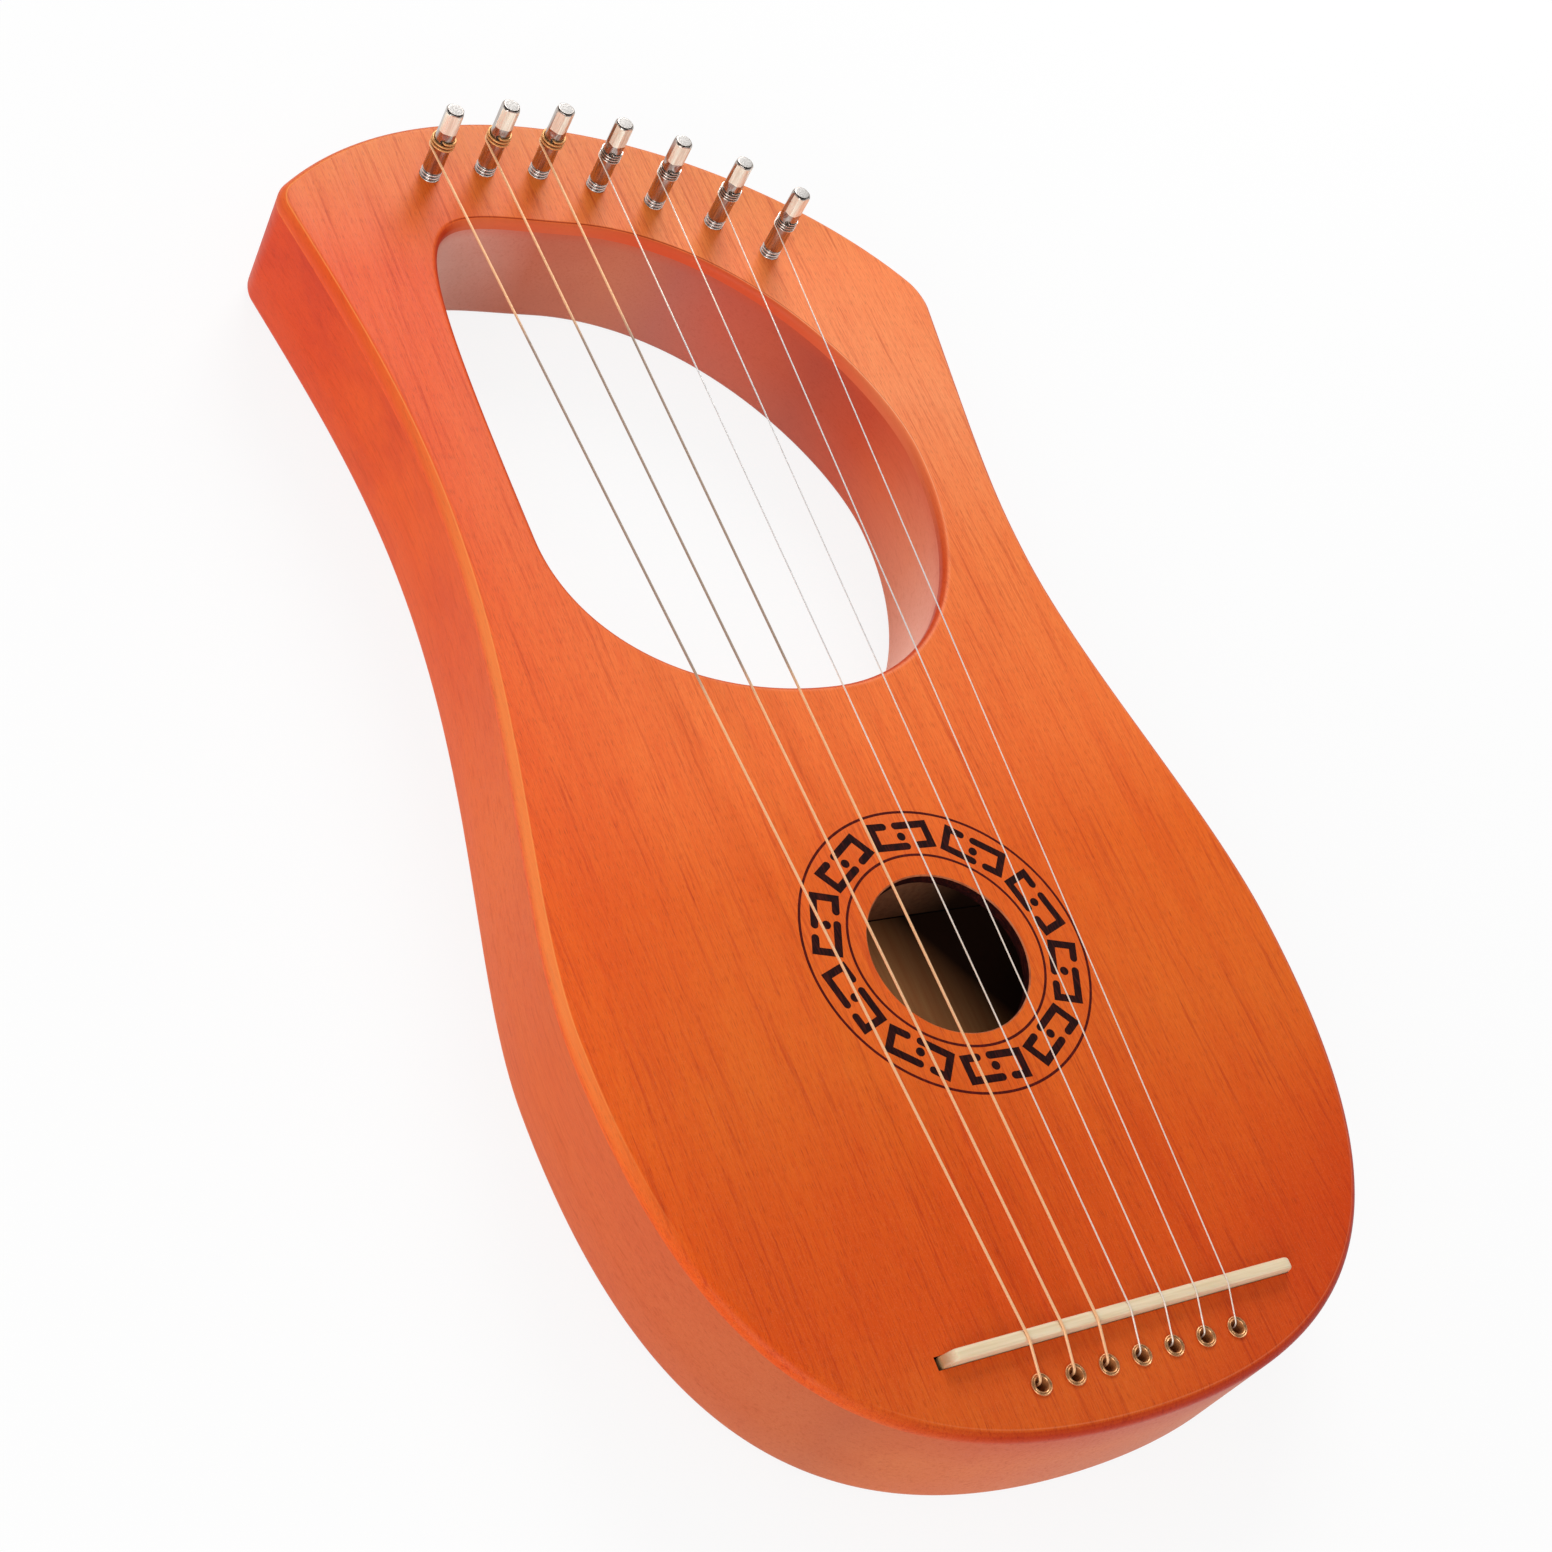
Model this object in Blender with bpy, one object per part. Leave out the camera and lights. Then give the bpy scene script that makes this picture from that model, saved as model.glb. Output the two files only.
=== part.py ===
# Seven-string lyre harp: a hollow wooden body with two arms and a yoke, strung from the tail to the pins.
# Sizes are metres. x runs across the body, y from the tail to the yoke, z from the back to the front.
# Places on the body are measured from the rosette's centre, and heights from the back.

import math

import bmesh
import bpy
from mathutils import Matrix, Vector

# Layers of the body
body_depth = 0.034
soundboard_thickness = 0.003
back_thickness = 0.003
seam = 0.0003
edge_round = 0.0025
opening_round = 0.0018

# Outline, from the tail up each side to the shoulders and over the crest
middle_x = -0.0019
tail_drop = 0.1105
tail_width = 0.072
bout_half_width = 0.0945
bout_y = -0.006
bout_fullness_below = 0.066
bout_fullness_above = 0.033
right_waist_half_width = 0.0795
right_waist_y = 0.1047
right_waist_reach_below = 0.0357
right_waist_reach_above = 0.0227
left_waist_half_width = 0.0758
left_waist_y = 0.1357
left_waist_reach_below = 0.0608
left_waist_reach_above = 0.0300
right_shoulder = Vector((0.0885, 0.1937))
left_shoulder = Vector((-0.0888, 0.2280))
right_shoulder_arm = Vector((-0.0089, -0.0567))
left_shoulder_arm = Vector((0.0066, -0.0364))
right_shoulder_crest = Vector((-0.0256, 0.0476))
left_shoulder_crest = Vector((0.0591, 0.0550))
shoulder_round = 0.0055

# Hand opening between the arms
right_arm_width = 0.0191
left_arm_width = 0.0201
opening_bottom = Vector((0.0022, 0.0721))
opening_right_y = 0.1401
opening_left_y = 0.1199
opening_top_x = -0.0114
yoke_height = 0.0368
opening_top_slope = math.radians(4.8)
opening_bottom_reach_left = 0.0371
opening_bottom_reach_right = 0.0364
opening_right_reach_down = 0.0341
opening_right_reach_up = 0.0252
opening_top_reach_right = 0.0463
opening_top_reach_left = 0.0424
opening_left_reach_up = 0.1108
opening_left_reach_down = 0.0274

# Chamber under the soundboard
rim_width = 0.008
tail_land = 0.030
chamber_top = 0.0245
chamber_top_rise = 0.003
sound_hole_radius = 0.020
sound_hole_centre = Vector((0.0, -0.0011))

# Tuning pins, each across from the middle and down from the crest
pin_places = (
    (-0.0454, 0.0171),
    (-0.0293, 0.0173),
    (-0.0142, 0.0179),
    (0.0010, 0.0204),
    (0.0160, 0.0224),
    (0.0314, 0.0237),
    (0.0442, 0.0278),
)
pin_turns = (66, 74, 40, 12, 84, 39, 20)
pin_radius = 0.0025
pin_length = 0.041
pin_above_board = 0.022
pin_head_length = 0.0081
pin_head_width = 0.0044
pin_hole_radius = 0.0008
pin_hole_height = 0.0130
pin_flat_run = 0.0009
pin_tip_chamfer = 0.0004
string_hole_cutter_spare = 0.0025
pin_sides = 20

# Eyelets and ball ends at the tail
eyelet_pitch = 0.008735
eyelet_middle_x = 0.0011
eyelet_from_tail = 0.0124
eyelet_flange_radius = 0.0024
eyelet_flange_height = 0.0006
eyelet_edge_fall = 0.00024
eyelet_lip_fall = 0.0003
eyelet_barrel_radius = 0.0020
eyelet_bore_radius = 0.0014
eyelet_barrel_length = 0.005
ball_radius = 0.0020
ball_groove_radius = 0.0013
ball_length = 0.0032
ball_waist = 0.0006
ball_hole_clearance = 0.0006
ball_depth = 0.004
string_hole_radius = 0.0016

# Saddle
saddle_from_eyelets = 0.0097
saddle_thickness = 0.0026
saddle_height = 0.0034
saddle_left_x = -0.0452
saddle_right_x = 0.047
saddle_slot_spare = 0.0009
saddle_corner = 0.0034
saddle_left_fall = 0.0017
saddle_right_fall = 0.0020
saddle_knee_in = 0.0010
saddle_knee_fall = 0.0005
saddle_edge_round = 0.0005

# Strings: the first three are wound, the others plain
string_radii = (0.000315, 0.000315, 0.000315, 0.00019, 0.00019, 0.00019, 0.00019)
thinnest_wound_radius = 0.0003
string_turns = (2.33, 2.33, 2.33, 3.33, 3.33, 3.33, 3.33)
turn_clearance = 0.00044
string_bend_radius = 0.0012
winding_bend_radius = 0.00084
string_end_reach = 0.001
string_bore_spare = 0.0001
saddle_bend_radius = 0.004
points_per_turn = 24
hole_sides = 14

front = body_depth
core_bottom = back_thickness + seam
core_top = body_depth - soundboard_thickness - seam


def make_material(name, color, roughness, metallic):
    material = bpy.data.materials.new(name)
    material.use_nodes = True
    shader = material.node_tree.nodes["Principled BSDF"]
    shader.inputs["Base Color"].default_value = (*color, 1)
    shader.inputs["Roughness"].default_value = roughness
    shader.inputs["Metallic"].default_value = metallic
    return material


def add_object(name, data, material, location, parent):
    thing = bpy.data.objects.new(name, data)
    data.materials.append(material)
    bpy.context.scene.collection.objects.link(thing)
    thing.parent = parent
    thing.location = location
    return thing


def mesh_from(bm, name, sharp_angle=math.radians(35)):
    bmesh.ops.recalc_face_normals(bm, faces=bm.faces)
    mesh = bpy.data.meshes.new(name)
    bm.to_mesh(mesh)
    bm.free()
    mesh.shade_smooth()
    mesh.set_sharp_from_angle(angle=sharp_angle)
    return mesh


# Curves in the plane of the board

def point_on(curve, t):
    a, b, c, d = curve
    return a * (1 - t) ** 3 + b * 3 * t * (1 - t) ** 2 + c * 3 * t**2 * (1 - t) + d * t**3


def points_on(curve, count):
    return [point_on(curve, step / count) for step in range(count)]


def cut_before_end(curve, reach):
    low, high = 0.4, 1.0
    for _ in range(30):
        t = (low + high) / 2
        if (point_on(curve, t) - curve[3]).length > reach:
            low = t
        else:
            high = t
    a, b, c, d = curve
    ab, bc, cd = a.lerp(b, t), b.lerp(c, t), c.lerp(d, t)
    abc, bcd = ab.lerp(bc, t), bc.lerp(cd, t)
    return a, ab, abc, abc.lerp(bcd, t)


def backwards(curve):
    return tuple(reversed(curve))


def corner_between(start, corner, end):
    return start, start.lerp(corner, 0.6), end.lerp(corner, 0.6), end


def circle(centre, radius, count):
    turns = [2 * math.pi * step / count for step in range(count)]
    return [centre + Vector((math.cos(turn), math.sin(turn))) * radius for turn in turns]


def moved_inward(loop, distance):
    moved = []
    for before, here, after in zip(loop[-1:] + loop[:-1], loop, loop[1:] + loop[:1]):
        along = (after - before).normalized()
        moved.append(here + Vector((-along.y, along.x)) * distance)
    return moved


def crest_curve():
    return (
        right_shoulder,
        right_shoulder + right_shoulder_crest,
        left_shoulder + left_shoulder_crest,
        left_shoulder,
    )


def crest_y(x):
    low, high = 0.0, 1.0
    for _ in range(30):
        t = (low + high) / 2
        if point_on(crest_curve(), t).x > x:
            low = t
        else:
            high = t
    return point_on(crest_curve(), t).y


def side_curves(side, waist, waist_reaches, shoulder, shoulder_arm):
    tail = Vector((middle_x, -tail_drop))
    bout = Vector((middle_x + side * bout_half_width, bout_y))
    lower = (tail, tail + Vector((side * tail_width, 0)), bout - Vector((0, bout_fullness_below)), bout)
    below, above = waist_reaches
    flank = (bout, bout + Vector((0, bout_fullness_above)), waist - Vector((0, below)), waist)
    arm = (waist, waist + Vector((0, above)), shoulder + shoulder_arm, shoulder)
    return lower, flank, arm


def body_outline():
    right_waist = Vector((middle_x + right_waist_half_width, right_waist_y))
    left_waist = Vector((middle_x - left_waist_half_width, left_waist_y))
    right = side_curves(
        1,
        right_waist,
        (right_waist_reach_below, right_waist_reach_above),
        right_shoulder,
        right_shoulder_arm,
    )
    left = side_curves(
        -1, left_waist, (left_waist_reach_below, left_waist_reach_above), left_shoulder, left_shoulder_arm
    )
    right_arm = cut_before_end(right[2], shoulder_round)
    left_arm = cut_before_end(left[2], shoulder_round)
    crest = cut_before_end(crest_curve(), shoulder_round)
    crest = backwards(cut_before_end(backwards(crest), shoulder_round))
    loop = points_on(right[0], 18) + points_on(right[1], 10) + points_on(right_arm, 12)
    loop += points_on(corner_between(right_arm[3], right_shoulder, crest[0]), 5)
    loop += points_on(crest, 26)
    loop += points_on(corner_between(crest[3], left_shoulder, left_arm[3]), 5)
    loop += points_on(backwards(left_arm), 12) + points_on(backwards(left[1]), 10)
    loop += points_on(backwards(left[0]), 18)
    return loop


def opening_outline():
    slope = Vector((math.cos(opening_top_slope), -math.sin(opening_top_slope)))
    right = Vector((middle_x + right_waist_half_width - right_arm_width, opening_right_y))
    left = Vector((middle_x - left_waist_half_width + left_arm_width, opening_left_y))
    top = Vector((opening_top_x, crest_y(opening_top_x) - yoke_height))
    bottom_right = (
        opening_bottom,
        opening_bottom + Vector((opening_bottom_reach_right, 0)),
        right - Vector((0, opening_right_reach_down)),
        right,
    )
    top_right = (
        right,
        right + Vector((0, opening_right_reach_up)),
        top + slope * opening_top_reach_right,
        top,
    )
    top_left = (
        top,
        top - slope * opening_top_reach_left,
        left + Vector((0, opening_left_reach_up)),
        left,
    )
    bottom_left = (
        left,
        left - Vector((0, opening_left_reach_down)),
        opening_bottom - Vector((opening_bottom_reach_left, 0)),
        opening_bottom,
    )
    return (
        points_on(bottom_right, 14)
        + points_on(top_right, 18)
        + points_on(top_left, 18)
        + points_on(bottom_left, 14)
    )


def kept_above(loop, y, sign):
    kept = []
    for here, after in zip(loop, loop[1:] + loop[:1]):
        here_over, after_over = (here.y - y) * sign, (after.y - y) * sign
        if here_over >= 0:
            kept.append(here)
        if here_over * after_over < 0:
            kept.append(here.lerp(after, here_over / (here_over - after_over)))
    return kept


def chamber_outline():
    side_top = chamber_top - chamber_top_rise
    loop = kept_above(moved_inward(body_outline(), rim_width), tail_land - tail_drop, 1)
    loop = kept_above(loop, side_top, -1)
    last_right = max(range(len(loop)), key=lambda place: (loop[place].y, loop[place].x))
    right, left = loop[last_right], loop[(last_right + 1) % len(loop)]
    arch = []
    for step in range(1, 12):
        share = step / 12
        rise = chamber_top_rise * 4 * share * (1 - share)
        arch.append(right.lerp(left, share) + Vector((0, rise)))
    return loop[: last_right + 1] + arch + loop[last_right + 1 :]


# Plates: each wall is a stack of rings from the back to the front

def ring(loop, height):
    return [Vector((point.x, point.y, height)) for point in loop]


def straight_wall(loop, low, high):
    return [ring(loop, low), ring(loop, high)]


def rounded_front(loop, low, high, radius):
    wall = [ring(loop, low)]
    for step in range(3):
        turn = math.pi / 2 * step / 2
        inset = radius * (1 - math.cos(turn))
        wall.append(ring(moved_inward(loop, inset), high - radius + radius * math.sin(turn)))
    return wall


def upside_down(wall, low, high):
    flipped = [[Vector((point.x, point.y, low + high - point.z)) for point in ring] for ring in wall]
    return flipped[::-1]


def stepped_hole(centre, steps, count):
    return [ring(circle(centre, radius, count), height) for radius, height in steps]


def plate(name, walls, pockets=()):
    bm = bmesh.new()
    backs, fronts = [], []
    for wall in list(walls) + list(pockets):
        rings = [[bm.verts.new(point) for point in points] for points in wall]
        for lower, upper in zip(rings, rings[1:]):
            for place, vert in enumerate(lower):
                after = (place + 1) % len(lower)
                bm.faces.new((vert, lower[after], upper[after], upper[place]))
        if wall in pockets:
            bm.faces.new(rings[0])
        else:
            backs += ring_edges(bm, rings[0])
        fronts += ring_edges(bm, rings[-1])
    bmesh.ops.triangle_fill(bm, edges=backs, use_beauty=True, normal=(0, 0, -1))
    bmesh.ops.triangle_fill(bm, edges=fronts, use_beauty=True, normal=(0, 0, 1))
    return mesh_from(bm, name)


def ring_edges(bm, verts):
    return [bm.edges.get((vert, verts[(place + 1) % len(verts)])) for place, vert in enumerate(verts)]


# Turned pieces: a profile of radius and height, as a closed loop round the bore or from tip to tip

def turned(name, profile, sides, closed=False):
    bm = bmesh.new()
    rings = []
    for radius, height in profile:
        points = circle(Vector((0, 0)), radius, sides)
        rings.append([bm.verts.new((point.x, point.y, height)) for point in points])
    pairs = list(zip(rings, rings[1:]))
    if closed:
        pairs.append((rings[-1], rings[0]))
    else:
        bm.faces.new(rings[0])
        bm.faces.new(rings[-1])
    for lower, upper in pairs:
        for place in range(sides):
            after = (place + 1) % sides
            bm.faces.new((lower[place], lower[after], upper[after], upper[place]))
    return mesh_from(bm, name)


def tube(name, points, radius, sides_step):
    data = bpy.data.curves.new(name, "CURVE")
    data.dimensions = "3D"
    data.bevel_depth = radius
    data.bevel_resolution = sides_step
    data.use_fill_caps = True
    spline = data.splines.new("POLY")
    spline.points.add(len(points) - 1)
    for place, point in zip(spline.points, points):
        place.co = (*point, 1)
    return data


# The body's places that several pieces share

def pin_centre(number):
    x, drop = pin_places[number]
    return Vector((x, crest_y(x) - drop))


def eyelet_centre(number):
    middle = (len(pin_places) - 1) / 2
    return Vector((eyelet_middle_x + (number - middle) * eyelet_pitch, eyelet_from_tail - tail_drop))


def saddle_y():
    return eyelet_from_tail - tail_drop + saddle_from_eyelets


def saddle_slot():
    half = saddle_thickness / 2 + seam
    left, right = saddle_left_x - saddle_slot_spare - seam, saddle_right_x + seam
    y = saddle_y()
    return [
        Vector((left, y - half)),
        Vector((right, y - half)),
        Vector((right, y + half)),
        Vector((left, y + half)),
    ]


def clockwise(loop):
    return loop[::-1]


def make_soundboard(material, parent):
    low, high = body_depth - soundboard_thickness, body_depth
    walls = [
        rounded_front(body_outline(), low, high, edge_round),
        rounded_front(clockwise(opening_outline()), low, high, opening_round),
        straight_wall(circle(sound_hole_centre, sound_hole_radius, 48), low, high),
        straight_wall(saddle_slot(), low, high),
    ]
    for number in range(len(pin_places)):
        pin_hole = circle(pin_centre(number), pin_radius + seam, hole_sides)
        eyelet_hole = circle(eyelet_centre(number), eyelet_barrel_radius + seam, hole_sides)
        walls += [straight_wall(pin_hole, low, high), straight_wall(eyelet_hole, low, high)]
    return add_object("soundboard", plate("soundboard", walls), material, (0, 0, 0), parent)


def make_core(material, parent):
    walls = [
        straight_wall(body_outline(), core_bottom, core_top),
        straight_wall(opening_outline(), core_bottom, core_top),
        straight_wall(chamber_outline(), core_bottom, core_top),
    ]
    ball_hole = ball_radius + ball_hole_clearance
    shelf = core_bottom + ball_depth
    barrel_seat = front - eyelet_barrel_length - seam
    steps = (
        (ball_hole, core_bottom),
        (ball_hole, shelf),
        (string_hole_radius, shelf),
        (string_hole_radius, barrel_seat),
        (eyelet_barrel_radius + seam, barrel_seat),
        (eyelet_barrel_radius + seam, core_top),
    )
    pockets = []
    pin_bottom = front - (pin_length - pin_above_board) - seam
    for number in range(len(pin_places)):
        walls.append(stepped_hole(eyelet_centre(number), steps, hole_sides))
        pin_hole = circle(pin_centre(number), pin_radius + seam, hole_sides)
        pockets.append(straight_wall(pin_hole, pin_bottom, core_top))
    return add_object("body_core", plate("body_core", walls, pockets), material, (0, 0, 0), parent)


def make_back(material, parent):
    low, high = 0, back_thickness
    walls = [
        upside_down(rounded_front(body_outline(), low, high, edge_round), low, high),
        upside_down(rounded_front(clockwise(opening_outline()), low, high, opening_round), low, high),
    ]
    for number in range(len(pin_places)):
        hole = circle(eyelet_centre(number), ball_radius + ball_hole_clearance, hole_sides)
        walls.append(straight_wall(hole, low, high))
    return add_object("back_plate", plate("back_plate", walls), material, (0, 0, 0), parent)


def make_saddle(material, parent):
    bottom, top = core_top + seam, front + saddle_height
    profile = [
        (saddle_left_x, bottom),
        (saddle_right_x, bottom),
        (saddle_right_x, top - saddle_right_fall),
        (saddle_right_x - saddle_knee_in, top - saddle_knee_fall),
        (saddle_right_x - saddle_corner, top),
        (saddle_left_x + saddle_corner, top),
        (saddle_left_x, top - saddle_left_fall),
    ]
    bm = bmesh.new()
    verts = [bm.verts.new((x, -saddle_thickness / 2, z)) for x, z in profile]
    face = bm.faces.new(verts)
    grown = bmesh.ops.extrude_face_region(bm, geom=[face])
    moved = [part for part in grown["geom"] if isinstance(part, bmesh.types.BMVert)]
    bmesh.ops.translate(bm, vec=(0, saddle_thickness, 0), verts=moved)
    upper = [edge for edge in bm.edges if all(vert.co.z > front for vert in edge.verts)]
    along = [edge for edge in upper if abs(edge.verts[0].co.y - edge.verts[1].co.y) < seam]
    bmesh.ops.bevel(bm, geom=along, offset=saddle_edge_round, segments=2, affect="EDGES")
    return add_object("saddle", mesh_from(bm, "saddle"), material, (0, saddle_y(), 0), parent)


# Tuning pins: a round barrel with four flats at the head and a cross hole for the string

def head_radius(turn, flat_distance):
    reach = max(abs(math.cos(turn)), abs(math.sin(turn)))
    return min(pin_radius, flat_distance / reach)


def pin_mesh():
    half = pin_head_width / 2
    head_start = pin_above_board - pin_head_length
    ramp = pin_radius - half
    tip = pin_tip_chamfer
    rings = [
        (pin_above_board - pin_length, pin_radius - tip, pin_radius),
        (pin_above_board - pin_length + tip, pin_radius, pin_radius),
        (head_start, pin_radius, pin_radius),
        (head_start + pin_flat_run / 3, pin_radius, half + ramp / 3),
        (head_start + pin_flat_run, pin_radius, half),
        (pin_above_board - tip, pin_radius, half),
        (pin_above_board, pin_radius - tip, half - tip),
    ]
    bm = bmesh.new()
    loops = []
    for height, radius, flat_distance in rings:
        loop = []
        for step in range(pin_sides):
            turn = 2 * math.pi * (step + 0.5) / pin_sides
            reach = min(radius, head_radius(turn, flat_distance))
            loop.append(bm.verts.new((math.cos(turn) * reach, math.sin(turn) * reach, height)))
        loops.append(loop)
    for lower, upper in zip(loops, loops[1:]):
        for place in range(pin_sides):
            after = (place + 1) % pin_sides
            bm.faces.new((lower[place], lower[after], upper[after], upper[place]))
    bm.faces.new(loops[0])
    bm.faces.new(loops[-1])
    return mesh_from(bm, "tuning_pin")


def add_cutter(name, parent, turn):
    bm = bmesh.new()
    bmesh.ops.create_cone(
        bm,
        cap_ends=True,
        segments=10,
        radius1=pin_hole_radius,
        radius2=pin_hole_radius,
        depth=2 * (pin_radius + string_hole_cutter_spare),
        matrix=Matrix.Rotation(math.pi / 2, 4, "Y"),
    )
    mesh = bpy.data.meshes.new(name)
    bm.to_mesh(mesh)
    bm.free()
    cutter = bpy.data.objects.new(name, mesh)
    bpy.context.scene.collection.objects.link(cutter)
    cutter.hide_render = True
    cutter.display_type = "WIRE"
    cutter.parent = parent
    cutter.location = (0, 0, pin_hole_height)
    cutter.rotation_euler = (0, 0, turn)
    return cutter


def winding_radius(number):
    return pin_radius + seam + string_radii[number]


def winding_pitch(number):
    return 2 * string_radii[number] + turn_clearance


def winding_start(number):
    return pin_hole_height - string_turns[number] * winding_pitch(number)


def string_height(number):
    return winding_start(number) - 2 * string_radii[number] - seam


def winding_points(number):
    radius, string = winding_radius(number), string_radii[number]
    turns, bend = string_turns[number], winding_bend_radius
    bend_turn = math.asin(bend / (radius - bend))
    last = turns * 2 * math.pi - bend_turn
    count = math.ceil(points_per_turn * last / (2 * math.pi))
    climb = winding_pitch(number) / (2 * math.pi)
    points = [Vector((radius, 2 * string, winding_start(number)))]
    for step in range(count + 1):
        turn = last * step / count
        height = min(winding_start(number) + climb * turn, pin_hole_height)
        points.append(Vector((radius * math.cos(turn), -radius * math.sin(turn), height)))
    entry = -turns * 2 * math.pi
    inward = Vector((-math.cos(entry), -math.sin(entry), 0))
    onward = Vector((math.sin(entry), -math.cos(entry), 0))
    hub = -inward * (radius - bend) - onward * bend
    for step in range(1, 5):
        turn = math.pi / 2 * step / 4
        place = hub - inward * bend * math.cos(turn) + onward * bend * math.sin(turn)
        points.append(place + Vector((0, 0, pin_hole_height)))
    points.append(-inward * string_end_reach + Vector((0, 0, pin_hole_height)))
    return points


def least_gap(points, radius):
    half_turn = points_per_turn // 2
    return min(
        (there - here).length - 2 * radius
        for first, here in enumerate(points)
        for there in points[first + half_turn :]
    )


def make_pin(number, metal, string_material, parent):
    centre = pin_centre(number)
    name = f"tuning_pin_{number + 1}"
    place = (centre.x, centre.y, front)
    turn = math.radians(pin_turns[number])
    bm = bmesh.new()
    bm.from_mesh(pin_mesh())
    bmesh.ops.rotate(bm, matrix=Matrix.Rotation(turn, 3, "Z"), verts=bm.verts)
    pin = add_object(name, mesh_from(bm, name), metal, place, parent)
    hole_turn = -string_turns[number] * 2 * math.pi
    cut = pin.modifiers.new("string hole", "BOOLEAN")
    cut.object = add_cutter(f"{name}_hole", pin, hole_turn)
    cut.solver = "EXACT"
    points = winding_points(number)
    radius = string_radii[number]
    winding = tube(f"string_winding_{number + 1}", points, radius, 1)
    add_object(f"string_winding_{number + 1}", winding, string_material, (0, 0, 0), pin)
    print(f"string_winding_{number + 1} least gap {least_gap(points, radius) * 1000:.2f} mm")


# Eyelets, ball ends and strings

def make_eyelet(number, material, parent):
    low, crown = front - eyelet_barrel_length, front + seam + eyelet_flange_height
    wall_middle = (eyelet_flange_radius + eyelet_bore_radius) / 2
    profile = [
        (eyelet_bore_radius, low),
        (eyelet_barrel_radius, low),
        (eyelet_barrel_radius, front + seam),
        (eyelet_flange_radius, front + seam),
        (eyelet_flange_radius, crown - eyelet_edge_fall),
        (wall_middle, crown),
        (eyelet_bore_radius, crown - eyelet_lip_fall),
    ]
    centre = eyelet_centre(number)
    mesh = turned(f"eyelet_{number + 1}", profile, hole_sides, closed=True)
    add_object(f"eyelet_{number + 1}", mesh, material, (centre.x, centre.y, 0), parent)


def make_ball(number, material, parent):
    half = ball_length / 2
    groove = ball_radius - ball_groove_radius
    profile = [
        (ball_radius, -half),
        (ball_radius, -groove),
        (ball_groove_radius, -ball_waist / 2),
        (ball_groove_radius, ball_waist / 2),
        (ball_radius, groove),
        (ball_radius, half),
    ]
    centre = eyelet_centre(number)
    height = core_bottom + ball_depth - seam - ball_radius
    mesh = turned(f"ball_end_{number + 1}", profile, 10)
    ball = add_object(f"ball_end_{number + 1}", mesh, material, (centre.x, centre.y, height), parent)
    ball.rotation_euler = (0, math.pi / 2, 0)


def bend_points(hub, radius, first, last, count):
    turns = [first + (last - first) * step / count for step in range(count + 1)]
    return [hub + Vector((math.cos(turn), math.sin(turn))) * radius for turn in turns]


def string_points(number):
    string = string_radii[number]
    start, pin = eyelet_centre(number), pin_centre(number)
    reach = (pin - start).length
    swing = math.asin(winding_radius(number) / reach)
    along = Matrix.Rotation(swing, 2) @ (pin - start).normalized()
    run = math.sqrt(reach**2 - winding_radius(number) ** 2)
    entry = eyelet_bore_radius - seam - string - string_bore_spare
    rim = front + seam + eyelet_flange_height + seam + string
    top = front + saddle_height + seam + string
    saddle_run = (saddle_y() - start.y) / along.y
    rise = math.atan2(top - rim, saddle_run - saddle_thickness / 2 - eyelet_flange_radius)
    hub = Vector((entry + string_bend_radius, rim - string_bend_radius * math.cos(rise)))
    ball_top = core_bottom + ball_depth - seam - ball_radius + ball_groove_radius + seam
    profile = [Vector((entry, ball_top))]
    profile += bend_points(hub, string_bend_radius, math.pi, math.pi / 2 + rise, 5)
    lift = math.atan2(front + string_height(number) - top, run - saddle_run)
    crown = Vector((saddle_run, top - saddle_bend_radius))
    profile += bend_points(crown, saddle_bend_radius, math.pi / 2 + rise, math.pi / 2 + lift, 4)
    points = []
    for place in profile:
        spot = start + along * place.x
        points.append(Vector((spot.x, spot.y, place.y)))
    touch = start + along * run - pin
    first = math.atan2(touch.y, touch.x)
    height = front + string_height(number)
    sweep = first % (2 * math.pi)
    for step in range(11):
        turn = first - sweep * step / 10
        spot = pin + Vector((math.cos(turn), math.sin(turn))) * winding_radius(number)
        points.append(Vector((spot.x, spot.y, height)))
    return points


def make_string(number, material, parent):
    data = tube(f"string_{number + 1}", string_points(number), string_radii[number], 2)
    add_object(f"string_{number + 1}", data, material, (0, 0, 0), parent)


def build():
    for thing in list(bpy.data.objects):
        bpy.data.objects.remove(thing)
    face_wood = make_material("stained mahogany", (0.72, 0.20, 0.07), 0.45, 0)
    side_wood = make_material("stained rim", (0.55, 0.12, 0.06), 0.5, 0)
    bone = make_material("bone", (0.88, 0.80, 0.62), 0.4, 0)
    nickel = make_material("nickel", (0.75, 0.72, 0.68), 0.2, 1)
    bronze = make_material("bronze wrap", (0.72, 0.48, 0.24), 0.3, 1)
    steel = make_material("plain steel", (0.78, 0.77, 0.76), 0.2, 1)
    brass = make_material("brass", (0.76, 0.56, 0.30), 0.3, 1)

    outline = body_outline()
    xs, ys = [point.x for point in outline], [point.y for point in outline]
    harp = bpy.data.objects.new("lyre_harp", None)
    bpy.context.scene.collection.objects.link(harp)
    harp.location = (-(min(xs) + max(xs)) / 2, -(min(ys) + max(ys)) / 2, 0)

    make_soundboard(face_wood, harp)
    make_core(side_wood, harp)
    make_back(face_wood, harp)
    make_saddle(bone, harp)
    for number, radius in enumerate(string_radii):
        string_metal = bronze if radius > thinnest_wound_radius else steel
        make_pin(number, nickel, string_metal, harp)
        make_eyelet(number, brass, harp)
        make_ball(number, brass, harp)
        make_string(number, string_metal, harp)


build()
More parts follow.
